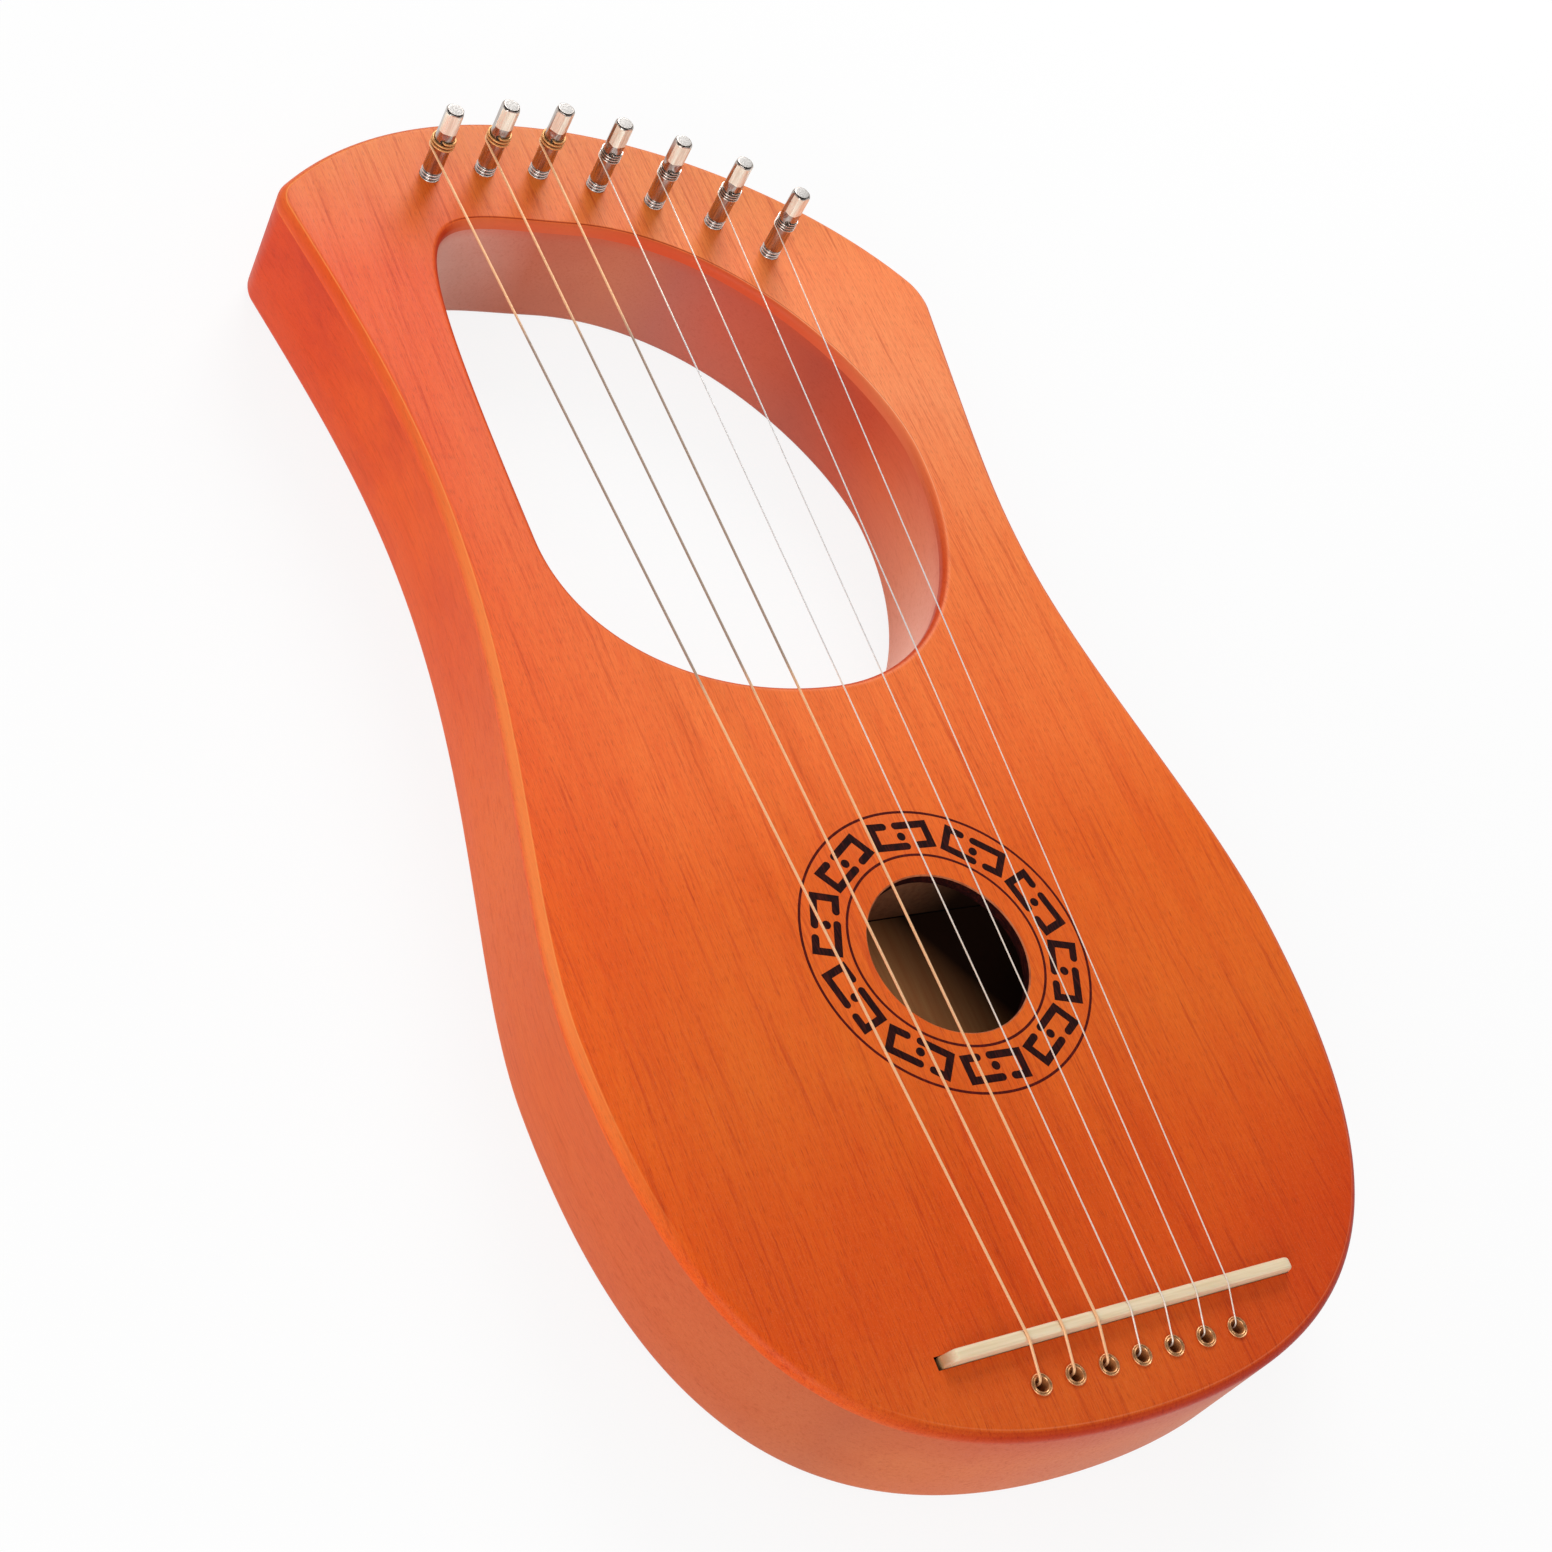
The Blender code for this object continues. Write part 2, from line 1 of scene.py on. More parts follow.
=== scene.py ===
# Seven-string lyre harp on a white studio floor: stained mahogany body, burned rosette, bone saddle,
# brass eyelets, nickel tuning pins, three bronze-wound strings and four of plain steel.
import math

import bmesh
import bpy
from mathutils import Matrix, Vector


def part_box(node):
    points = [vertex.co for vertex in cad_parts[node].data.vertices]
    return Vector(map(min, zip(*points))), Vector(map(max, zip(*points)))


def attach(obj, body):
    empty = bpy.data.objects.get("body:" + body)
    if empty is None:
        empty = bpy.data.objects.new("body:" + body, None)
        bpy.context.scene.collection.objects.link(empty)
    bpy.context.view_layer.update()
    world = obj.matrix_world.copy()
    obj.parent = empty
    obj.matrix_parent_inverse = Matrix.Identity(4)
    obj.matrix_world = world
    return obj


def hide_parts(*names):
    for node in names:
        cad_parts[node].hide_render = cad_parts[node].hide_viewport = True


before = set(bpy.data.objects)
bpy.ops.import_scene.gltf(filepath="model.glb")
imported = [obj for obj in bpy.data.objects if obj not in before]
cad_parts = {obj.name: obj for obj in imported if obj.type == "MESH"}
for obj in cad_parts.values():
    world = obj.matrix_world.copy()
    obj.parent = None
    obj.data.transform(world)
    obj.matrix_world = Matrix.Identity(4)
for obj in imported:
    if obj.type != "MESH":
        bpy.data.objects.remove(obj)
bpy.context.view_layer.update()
mm = 0.001
stringCount = 7
print("frame loaded")


# Camera: the place, direction and lens that the photograph was taken from
camera = {
    "place": (-0.3278, -0.2674, 0.4597),
    "right": (0.84192, -0.36998, 0.39279),
    "up": (0.10601, 0.82716, 0.55188),
    "backward": (-0.52909, -0.42300, 0.73562),
    "lens": 59.685,
}
cameraData = bpy.data.cameras.new("camera")
cameraData.lens = camera["lens"]
cameraData.sensor_width = 36
cameraData.clip_start = 0.01
cameraObject = bpy.data.objects.new("camera", cameraData)
turn = Matrix((camera["right"], camera["up"], camera["backward"])).transposed()
cameraObject.matrix_world = Matrix.Translation(camera["place"]) @ turn.to_4x4()
bpy.context.scene.collection.objects.link(cameraObject)
bpy.context.scene.camera = cameraObject
bpy.context.scene.view_settings.view_transform = "Standard"


# Shading helpers

def linear(hexColour):
    channels = [int(hexColour[place:place + 2], 16) / 255 for place in (1, 3, 5)]
    return tuple(c / 12.92 if c <= 0.04045 else ((c + 0.055) / 1.055) ** 2.4 for c in channels) + (1,)


def addNode(tree, kind, settings=None, links=None):
    node = tree.nodes.new(kind)
    for name, value in (settings or {}).items():
        if isinstance(name, str) and hasattr(node, name):
            setattr(node, name, value)
        else:
            node.inputs[name].default_value = value
    for name, source in (links or {}).items():
        tree.links.new(source, node.inputs[name])
    return node


def newMaterial(name):
    material = bpy.data.materials.new(name)
    material.use_nodes = True
    material.node_tree.nodes.clear()
    return material, material.node_tree


def finishSurface(tree, settings, links):
    shader = addNode(tree, "ShaderNodeBsdfPrincipled", settings, links)
    addNode(tree, "ShaderNodeOutputMaterial", links={"Surface": shader.outputs[0]})
    return shader


def stretchedNoise(tree, coordinate, size, stretch, detail=3.0, roughness=0.55, axis="Y"):
    scale = (1, 1 / stretch, 1) if axis == "Y" else (1, 1, 1 / stretch)
    space = addNode(tree, "ShaderNodeMapping", {"Scale": scale}, {"Vector": coordinate})
    noise = addNode(
        tree,
        "ShaderNodeTexNoise",
        {"Scale": 1 / size, "Detail": detail, "Roughness": roughness},
        {"Vector": space.outputs[0]},
    )
    return noise.outputs["Fac"]


def remap(tree, source, low, high, start=0.0, end=1.0):
    settings, links = {"From Min": low, "From Max": high}, {"Value": source}
    for socket, value in (("To Min", start), ("To Max", end)):
        if isinstance(value, bpy.types.NodeSocket):
            links[socket] = value
        else:
            settings[socket] = value
    return addNode(tree, "ShaderNodeMapRange", settings, links).outputs[0]


def mixColours(tree, share, first, second, mode="MIX"):
    settings, links = {"data_type": "RGBA", "blend_type": mode}, {}
    for socket, value in ((0, share), (6, first), (7, second)):
        if isinstance(value, bpy.types.NodeSocket):
            links[socket] = value
        else:
            settings[socket] = value
    return addNode(tree, "ShaderNodeMix", settings, links).outputs[2]


def arithmetic(tree, operation, first, second):
    settings, links = {"operation": operation}, {}
    for socket, value in enumerate((first, second)):
        if isinstance(value, bpy.types.NodeSocket):
            links[socket] = value
        else:
            settings[socket] = value
    return addNode(tree, "ShaderNodeMath", settings, links).outputs[0]


# Mahogany, sanded, stained orange-red and sprayed with one thin satin coat that leaves the pores open.
# Open pores and sanded fibres scatter much of what a closed lacquer would mirror.
stainAndPaintedLight = {
    # face: stain tone along the body, partly painted sheen that makes it paler toward the head
    "face": (
        (-0.172, "#d9601c"), (-0.15, "#db5410"), (-0.125, "#df5a12"), (-0.095, "#e5691b"),
        (-0.05, "#ed6a1c"), (-0.02, "#f87932"), (0.035, "#f98440"), (0.085, "#fc955b"),
        (0.13, "#fc8a48"), (0.155, "#ee8436"),
    ),
    "sides": (
        (-0.184, "#e07a35"), (-0.165, "#bc6238"), (-0.12, "#ce5f30"), (-0.02, "#ec6712"),
        (0.03, "#eb5b0a"), (0.09, "#ec5807"), (0.125, "#e14603"),
    ),
    # inside the opening: stain tone, partly painted reflection of the pale surroundings, palest low in the
    # opening
    "opening": (
        (0.015, "#ffbca2"), (0.046, "#ef8f68"), (0.07, "#df6c44"), (0.085, "#cb5536"),
        (0.103, "#ba5540"), (0.115, "#c86047"), (0.126, "#cc6752"), (0.135, "#c37262"),
        (0.142, "#d08063"), (0.147, "#cd795f"),
    ),
    "across": {
        "mahogany, face": (
            ("#f05603", (-1, 0.35, 0), 0.03, 0.10, 0.95, (0.130, 0.175)),
            ("#cc3400", (0.6, -0.8, 0), 0.138, 0.168, 0.6, (1, 2)),
        ),
        "mahogany, edge of the opening": (("#f05603", (-1, 0.35, 0), 0.03, 0.10, 0.95, (0.130, 0.175)),),
        # painted reflection: the opening's left wall turns paler pink
        "mahogany, inside the opening": (("#ffe0d4", (-1, 0, 0), 0.016, 0.050, 0.8, (1, 2)),),
    },
    # down: on the walls, painted shade toward the front edge, redder there inside the opening, and painted
    # reflection of the floor, paler toward the back
    "down": {
        "mahogany, inside the opening": (
            ("#e8b8ac", "MULTIPLY", 18 * mm, 34 * mm, 0.55),
            ("#ffd0c0", "MIX", 17 * mm, 0, 0.10),
            ("#d4522e", "MIX", 28 * mm, 33 * mm, 0.5),
        ),
        "mahogany, sides": (
            ("#ecd0bc", "MULTIPLY", 18 * mm, 34 * mm, 0.3),
            ("#ffc8ac", "MIX", 12 * mm, 0, 0.06),
        ),
    },
    "mottled": ("mahogany, sides",),
    "mottleTone": "#d4705c",
    "mottle": (16 * mm, 1.6),
    "fibreTone": "#eebba4",
    "streakTone": "#c47a58",
    "poreTone": "#8c4024",
    # painted glints: tiny light specks standing in for the satin coat's sparkle
    "paintedGlintTone": "#ffc094",
    "fibre": (0.42 * mm, 20),
    "streak": (0.8 * mm, 34),
    "pore": (0.17 * mm, 15),
    "band": (9 * mm, 10),
    "paintedGlintSize": 0.28 * mm,
    "gloss": 0.14,
}
# Rounded edges, with painted highlight and painted shade. The left edge gets a painted highlight, a pale band
# with a bright line, wider lower down, and a painted red band higher up;
# the other edges get a thin painted pale line, painted shade in a darker band below it and walls darker toward
# the front. Each layer is what it goes with, its tone, how it mixes, its stops, and on which side.
outerEdgePaintedLight = {
    "towards": (-1, 0, 0),
    "layers": (
        ("lean", "#f79552", "MIX", ((0.05, 0.0), (0.35, 0.3), (0.7, 0.6), (0.92, 0.55), (0.985, 0.0)), "lower"),
        ("lean", "#e0522c", "MIX", ((0.02, 0.0), (0.1, 0.7), (0.6, 0.6), (0.9, 0.3), (0.94, 0.0)), "upper"),
        ("lean", "#ffa458", "MIX", ((0.925, 0.0), (0.955, 0.55), (0.985, 0.0)), "flank"),
        ("lean", "#ffb088", "MIX", ((0.94, 0.0), (0.965, 0.15), (0.985, 0.0)), "away"),
        ("lean", "#d07452", "MULTIPLY", ((0.02, 0.35), (0.5, 0.6), (0.86, 0.65), (0.95, 0.0)), "away"),
        ("height", "#e0886c", "MULTIPLY", ((0.55, 0.0), (0.92, 0.5)), "away"),
    ),
}
# The opening's edge: painted shade in a red band, a painted dark line along the top, a painted highlight line on
# the right, and painted shade on the sides that face away
openingEdgePaintedLight = {
    "towards": (-0.6, -0.8, 0),
    "layers": (
        ("lean", "#da6a44", "MIX", ((0.0, 0.9), (0.5, 0.85), (0.85, 0.7), (0.96, 0.0)), "towards"),
        ("lean", "#d84824", "MIX", ((0.0, 0.7), (0.85, 0.7), (0.97, 0.0)), "straight"),
        ("lean", "#9c3c20", "MULTIPLY", ((0.92, 0.0), (0.945, 0.75), (0.98, 0.75), (0.995, 0.0)), "overhead"),
        ("lean", "#ffb890", "MIX", ((0.93, 0.0), (0.955, 0.5), (0.98, 0.5), (0.995, 0.0)), "rightward"),
        ("lean", "#cc8468", "MULTIPLY", ((0.4, 0.9), (0.8, 0.8), (0.985, 0.0)), "away"),
    ),
}


def colourStops(tree, source, stops):
    ramp = addNode(tree, "ShaderNodeValToRGB", links={"Fac": source})
    for index, (position, value) in enumerate(stops):
        elements = ramp.color_ramp.elements
        stop = elements[index] if index < 2 else elements.new(position)
        stop.position = position
        stop.color = linear(value) if isinstance(value, str) else (value, value, value, 1)
    return ramp.outputs[0]


# Paints highlight and shade on the rounded edges, by how far the normal leans and which way it faces
def paintedEdgeLight(tree, base, edge):
    normal = addNode(tree, "ShaderNodeNewGeometry").outputs["Normal"]
    parts = addNode(tree, "ShaderNodeSeparateXYZ", links={"Vector": normal})
    place = addNode(tree, "ShaderNodeTexCoord").outputs["Object"]
    spots = addNode(tree, "ShaderNodeSeparateXYZ", links={"Vector": place})
    lean = arithmetic(tree, "ABSOLUTE", parts.outputs["Z"], 0.0)
    height = remap(tree, spots.outputs["Z"], 0, front)
    upright = remap(tree, lean, 0.6, 0.95, 1.0, 0.0)
    sources = {"lean": lean, "height": arithmetic(tree, "MULTIPLY", height, upright)}
    level = addNode(tree, "ShaderNodeVectorMath", {"operation": "MULTIPLY", 1: (1, 1, 0)}, {0: normal})
    level = addNode(tree, "ShaderNodeVectorMath", {"operation": "NORMALIZE"}, {0: level.outputs[0]})
    facing = addNode(
        tree, "ShaderNodeVectorMath", {"operation": "DOT_PRODUCT", 1: edge["towards"]}, {0: level.outputs[0]}
    )
    towards = remap(tree, facing.outputs["Value"], 0.2, 0.7)
    flank = arithmetic(tree, "MULTIPLY", towards, remap(tree, spots.outputs["Y"], -0.13, -0.07))
    lower = remap(tree, spots.outputs["Y"], 0.13, 0.03, 0.1, 1.0)
    rightward = remap(tree, parts.outputs["X"], -0.5 * 0.3, -0.8 * 0.3)
    sides = {
        "towards": towards,
        "rightward": arithmetic(tree, "MULTIPLY", towards, rightward),
        "overhead": arithmetic(tree, "MULTIPLY", towards, arithmetic(tree, "SUBTRACT", 1.0, rightward)),
        "flank": flank,
        "lower": arithmetic(tree, "MULTIPLY", flank, lower),
        "upper": arithmetic(tree, "MULTIPLY", flank, remap(tree, spots.outputs["Y"], 0.03, 0.12)),
        "straight": remap(tree, facing.outputs["Value"], 0.8, 0.98),
        "away": remap(tree, facing.outputs["Value"], 0.2, 0.7, 1.0, 0.0),
    }
    for source, tone, mode, stops, side in edge["layers"]:
        share = arithmetic(tree, "MULTIPLY", colourStops(tree, sources[source], stops), sides[side])
        base = mixColours(tree, share, base, linear(tone), mode)
    return base


def stainedMahogany(name, stops, grain=1.0, edge=None):
    material, tree = newMaterial(name)
    place = addNode(tree, "ShaderNodeTexCoord").outputs["Object"]
    fibres = stretchedNoise(tree, place, *stainAndPaintedLight["fibre"], 3)
    streaks = stretchedNoise(tree, place, *stainAndPaintedLight["streak"], 3)
    pores = stretchedNoise(tree, place, *stainAndPaintedLight["pore"], 1)
    bands = stretchedNoise(tree, place, *stainAndPaintedLight["band"], 2)
    paintedGlints = stretchedNoise(tree, place, stainAndPaintedLight["paintedGlintSize"], 1, 1)
    spots = addNode(tree, "ShaderNodeSeparateXYZ", links={"Vector": place})
    along = remap(tree, spots.outputs["Y"], -0.18, 0.18)
    base = colourStops(tree, along, [((y + 0.18) / 0.36, colour) for y, colour in stops])
    # tones across the body; inside the opening this is the painted reflection on the left wall
    for tone, direction, first, last, most, fade in stainAndPaintedLight["across"].get(name, ()):
        along = addNode(tree, "ShaderNodeVectorMath", {"operation": "DOT_PRODUCT", 1: direction}, {0: place})
        share = remap(tree, along.outputs["Value"], first, last, 0.0, most)
        share = arithmetic(tree, "MULTIPLY", share, remap(tree, spots.outputs["Y"], *fade, 1.0, 0.1))
        base = mixColours(tree, share, base, linear(tone))
    if name in stainAndPaintedLight["mottled"]:
        clouds = stretchedNoise(tree, place, *stainAndPaintedLight["mottle"], 4, 0.6)
        most = remap(tree, spots.outputs["Y"], -0.02, 0.08, 0.04, 0.4)
        share = remap(tree, clouds, 0.46, 0.70, 0.0, most)
        base = mixColours(tree, share, base, linear(stainAndPaintedLight["mottleTone"]), "MULTIPLY")
    for source, low, high, most, tone in (
        (bands, 0.42, 0.72, 0.30, "fibreTone"),
        (fibres, 0.40, 0.72, 0.5, "fibreTone"),
        (streaks, 0.54, 0.74, 0.46, "streakTone"),
        (pores, 0.55, 0.78, 0.42, "poreTone"),
    ):
        share = remap(tree, source, low, high, 0.0, most * grain)
        base = mixColours(tree, share, base, linear(stainAndPaintedLight[tone]), "MULTIPLY")
    # painted glints: tiny light specks
    paintedGlintShare = remap(tree, paintedGlints, 0.54, 0.74, 0.0, 0.05 * grain)
    base = mixColours(tree, paintedGlintShare, base, linear(stainAndPaintedLight["paintedGlintTone"]))
    # painted shade and painted reflection up and down the walls
    for tone, mode, low, high, most in stainAndPaintedLight["down"].get(name, ()):
        share = remap(tree, spots.outputs["Z"], low, high, 0.0, most)
        base = mixColours(tree, share, base, linear(tone), mode)
    # painted highlight and painted shade on the rounded edges
    if edge:
        base = paintedEdgeLight(tree, base, edge)
    height = arithmetic(tree, "SUBTRACT", fibres, remap(tree, pores, 0.60, 0.80, 0.0, 0.8))
    bump = addNode(
        tree, "ShaderNodeBump", {"Strength": 0.10 * grain, "Distance": 0.1 * mm}, {"Height": height}
    )
    roughness = remap(tree, streaks, 0.3, 0.7, 0.38, 0.46)
    finishSurface(
        tree,
        {"Specular IOR Level": stainAndPaintedLight["gloss"]},
        {"Base Color": base, "Roughness": roughness, "Normal": bump.outputs[0]},
    )
    return material


# Unstained wood inside the chamber: dull, with long soft grain, and painted shade that darkens it toward one side
def bareWood(name, light, dark, paintedShade=None, joint=False):
    material, tree = newMaterial(name)
    place = addNode(tree, "ShaderNodeTexCoord").outputs["Object"]
    grain = stretchedNoise(tree, place, 1.2 * mm, 30, 4)
    base = mixColours(tree, remap(tree, grain, 0.35, 0.7), linear(light), linear(dark))
    # painted shade: darker toward one side
    if paintedShade:
        tone, direction, first, last = paintedShade
        along = addNode(
            tree, "ShaderNodeVectorMath", {"operation": "DOT_PRODUCT", 1: direction}, {0: place}
        ).outputs["Value"]
        base = mixColours(tree, remap(tree, along, first, last), base, linear(tone))
    if joint:  # painted shade: a dark line in the gap where the rim meets the back
        spots = addNode(tree, "ShaderNodeSeparateXYZ", links={"Vector": place})
        share = remap(tree, spots.outputs["Z"], backTop + 0.9 * mm, backTop + 0.5 * mm)
        base = mixColours(tree, share, base, linear("#140a06"))
    bump = addNode(tree, "ShaderNodeBump", {"Strength": 0.2, "Distance": 0.1 * mm}, {"Height": grain})
    finishSurface(
        tree, {"Roughness": 0.75, "Specular IOR Level": 0.1}, {"Base Color": base, "Normal": bump.outputs[0]}
    )
    return material


# Wood charred by the laser that cut the hole and burned the rosette: near black with a red-brown bloom
def charredWood(name, light, dark):
    material, tree = newMaterial(name)
    place = addNode(tree, "ShaderNodeTexCoord").outputs["Object"]
    grain = stretchedNoise(tree, place, 0.5 * mm, 8, 3)
    base = mixColours(tree, remap(tree, grain, 0.45, 0.75), linear(dark), linear(light))
    bump = addNode(tree, "ShaderNodeBump", {"Strength": 0.3, "Distance": 0.08 * mm}, {"Height": grain})
    finishSurface(
        tree, {"Roughness": 0.7, "Specular IOR Level": 0.08}, {"Base Color": base, "Normal": bump.outputs[0]}
    )
    return material


# Bone, sawn and polished: cream with faint long streaks, with painted shade in brown at the slanted left end and
# in tan low down toward the board
def polishedBone(name):
    material, tree = newMaterial(name)
    place = addNode(tree, "ShaderNodeTexCoord").outputs["Object"]
    turned = addNode(tree, "ShaderNodeMapping", {"Scale": (0.04, 1, 1)}, {"Vector": place})
    streaks = addNode(
        tree, "ShaderNodeTexNoise", {"Scale": 1 / (0.6 * mm), "Detail": 3.0}, {"Vector": turned.outputs[0]}
    ).outputs["Fac"]
    base = mixColours(tree, remap(tree, streaks, 0.35, 0.7), linear("#efdbba"), linear("#e2cba4"))
    left = frameShift.x + saddle["left"]
    spots = addNode(tree, "ShaderNodeSeparateXYZ", links={"Vector": place})
    # painted shade: brown on the slanted left end
    ends = remap(tree, spots.outputs["X"], left + 2.2 * mm, left + 0.2 * mm, 0.0, 0.9)
    base = mixColours(tree, ends, base, linear("#a8683c"))
    # painted shade: tan low down toward the board, the top left lighter
    low = remap(tree, spots.outputs["Z"], front + 1.6 * mm, front, 0.0, 0.45)
    base = mixColours(tree, low, base, linear("#d8a878"))
    bump = addNode(tree, "ShaderNodeBump", {"Strength": 0.06, "Distance": 0.1 * mm}, {"Height": streaks})
    finishSurface(
        tree,
        {"Roughness": 0.42, "Subsurface Weight": 0.1, "Subsurface Scale": 1.5 * mm, "Specular IOR Level": 0.35},
        {"Base Color": base, "Normal": bump.outputs[0]},
    )
    return material


# Metals: plated, drawn or stamped, with fine drawn or handled marks that vary colour and gloss; on the pins'
# nickel the darker streaks are painted reflection as well
def metal(
    name, colour, markTone, roughness, markSize, markStretch=6, axis="Y", markShare=0.6, metallic=1.0, openingReflection=None
):
    material, tree = newMaterial(name)
    place = addNode(tree, "ShaderNodeTexCoord").outputs["Object"]
    marks = stretchedNoise(tree, place, markSize, markStretch, 3, axis=axis)
    base = mixColours(tree, remap(tree, marks, 0.45, 0.65, 0, markShare), linear(colour), linear(markTone))
    # painted reflection along the hand opening
    if openingReflection:
        base = paintedReflectionByOpening(tree, base, *openingReflection)
    gloss = remap(tree, marks, 0.3, 0.7, roughness * 0.8, roughness * 1.3)
    bump = addNode(tree, "ShaderNodeBump", {"Strength": 0.05, "Distance": 0.05 * mm}, {"Height": marks})
    finishSurface(
        tree, {"Metallic": metallic}, {"Base Color": base, "Roughness": gloss, "Normal": bump.outputs[0]}
    )
    return material


# Painted reflection: along the hand opening the wire turns greyer, for the darker surroundings it reflects there
def paintedReflectionByOpening(tree, base, tone, most):
    place = addNode(tree, "ShaderNodeTexCoord").outputs["Object"]
    spots = addNode(tree, "ShaderNodeSeparateXYZ", links={"Vector": place})
    share = remap(tree, spots.outputs["Y"], -6 * mm, 4 * mm, 0.0, most)
    share = arithmetic(tree, "MULTIPLY", share, remap(tree, spots.outputs["Y"], 110 * mm, 99 * mm))
    return mixColours(tree, share, base, linear(tone))


# Bronze wire of 0.2 mm wrapped on a steel core
def wrappedBronze(name, light, dark, metallic, coiled=False):
    material, tree = newMaterial(name)
    place = addNode(tree, "ShaderNodeTexCoord").outputs["Object"]
    spots = addNode(tree, "ShaderNodeSeparateXYZ", links={"Vector": place})
    if coiled:
        turn = arithmetic(tree, "ARCTAN2", spots.outputs["Y"], spots.outputs["X"])
        phase = arithmetic(tree, "MULTIPLY", turn, 88.0)
    else:
        phase = arithmetic(tree, "MULTIPLY", spots.outputs["Y"], 2 * math.pi / (0.2 * mm))
    wave = arithmetic(tree, "SINE", phase, 0.0)
    base = mixColours(tree, remap(tree, wave, -1, 1, 0, 0.3), linear(light), linear(dark))
    # painted reflection: greyer along the hand opening
    if not coiled:
        base = paintedReflectionByOpening(tree, base, "#8a847e", 0.8)
    bump = addNode(tree, "ShaderNodeBump", {"Strength": 0.2, "Distance": 0.03 * mm}, {"Height": wave})
    finishSurface(
        tree,
        {"Metallic": metallic, "Roughness": 0.46},
        {"Base Color": base, "Normal": bump.outputs[0]},
    )
    return material


# Curves in the plane of the board, measured from the rosette's centre

def pointOn(curve, t):
    a, b, c, d = curve
    return a * (1 - t) ** 3 + b * 3 * t * (1 - t) ** 2 + c * 3 * t**2 * (1 - t) + d * t**3


def pointsOn(curve, count):
    return [pointOn(curve, step / count) for step in range(count)]


def cutBeforeEnd(curve, reach):
    low, high = 0.4, 1.0
    for _ in range(30):
        t = (low + high) / 2
        if (pointOn(curve, t) - curve[3]).length > reach:
            low = t
        else:
            high = t
    a, b, c, d = curve
    ab, bc, cd = a.lerp(b, t), b.lerp(c, t), c.lerp(d, t)
    abc, bcd = ab.lerp(bc, t), bc.lerp(cd, t)
    return a, ab, abc, abc.lerp(bcd, t)


def backwards(curve):
    return tuple(reversed(curve))


def cornerBetween(start, corner, end):
    return start, start.lerp(corner, 0.6), end.lerp(corner, 0.6), end


def circle(centre, radius, count):
    turns = [2 * math.pi * step / count for step in range(count)]
    return [centre + Vector((math.cos(turn), math.sin(turn))) * radius for turn in turns]


def movedInward(loop, distance):
    moved = []
    for before, here, after in zip(loop[-1:] + loop[:-1], loop, loop[1:] + loop[:1]):
        along = (after - before).normalized()
        moved.append(here + Vector((-along.y, along.x)) * distance)
    return moved


# Body: the outline from the tail up each side to the shoulders and over the crest, and the hand opening
body = {
    "middleX": -0.0019,
    "tail": 0.1105,
    "tailWidth": 0.072,
    "bout": (0.0945, -0.006, 0.066, 0.033),
    "rightWaist": (0.0795, 0.1047, 0.0357, 0.0227),
    "leftWaist": (0.0758, 0.1357, 0.0608, 0.0300),
    "rightShoulder": Vector((0.0885, 0.1937)),
    "leftShoulder": Vector((-0.0888, 0.2280)),
    "rightArmPull": Vector((-0.0089, -0.0567)),
    "leftArmPull": Vector((0.0066, -0.0364)),
    "rightCrestPull": Vector((-0.0256, 0.0476)),
    "leftCrestPull": Vector((0.0591, 0.0550)),
    "shoulderRound": 0.0055,
    "rightArm": 0.0191,
    "leftArm": 0.0201,
    "yoke": 0.0368,
    "edgeRound": 2.5 * mm,
    "openingRound": 1.8 * mm,
    "rim": 8 * mm,
    "tailLand": 0.030,
    "chamberTop": 0.0245,
    "chamberRise": 3 * mm,
    "hole": 20 * mm,
    "holeCentre": Vector((0.0, -1.1 * mm)),
    "holeChamfer": 0.3 * mm,
}
crest = (
    body["rightShoulder"],
    body["rightShoulder"] + body["rightCrestPull"],
    body["leftShoulder"] + body["leftCrestPull"],
    body["leftShoulder"],
)


def crestY(x):
    low, high = 0.0, 1.0
    for _ in range(30):
        t = (low + high) / 2
        if pointOn(crest, t).x > x:
            low = t
        else:
            high = t
    return pointOn(crest, t).y


def sideCurves(side, waist, shoulder, armPull):
    halfWidth, boutY, below, above = body["bout"]
    tail = Vector((body["middleX"], -body["tail"]))
    bout = Vector((body["middleX"] + side * halfWidth, boutY))
    waistHalf, waistY, waistBelow, waistAbove = waist
    narrow = Vector((body["middleX"] + side * waistHalf, waistY))
    lower = (tail, tail + Vector((side * body["tailWidth"], 0)), bout - Vector((0, below)), bout)
    flank = (bout, bout + Vector((0, above)), narrow - Vector((0, waistBelow)), narrow)
    arm = (narrow, narrow + Vector((0, waistAbove)), shoulder + armPull, shoulder)
    return lower, flank, cutBeforeEnd(arm, body["shoulderRound"])


def bodyOutline():
    right = sideCurves(1, body["rightWaist"], body["rightShoulder"], body["rightArmPull"])
    left = sideCurves(-1, body["leftWaist"], body["leftShoulder"], body["leftArmPull"])
    top = cutBeforeEnd(crest, body["shoulderRound"])
    top = backwards(cutBeforeEnd(backwards(top), body["shoulderRound"]))
    loop = pointsOn(right[0], 72) + pointsOn(right[1], 48) + pointsOn(right[2], 44)
    loop += pointsOn(cornerBetween(right[2][3], body["rightShoulder"], top[0]), 16)
    loop += pointsOn(top, 100)
    loop += pointsOn(cornerBetween(top[3], body["leftShoulder"], left[2][3]), 16)
    loop += pointsOn(backwards(left[2]), 44) + pointsOn(backwards(left[1]), 48)
    loop += pointsOn(backwards(left[0]), 72)
    return loop


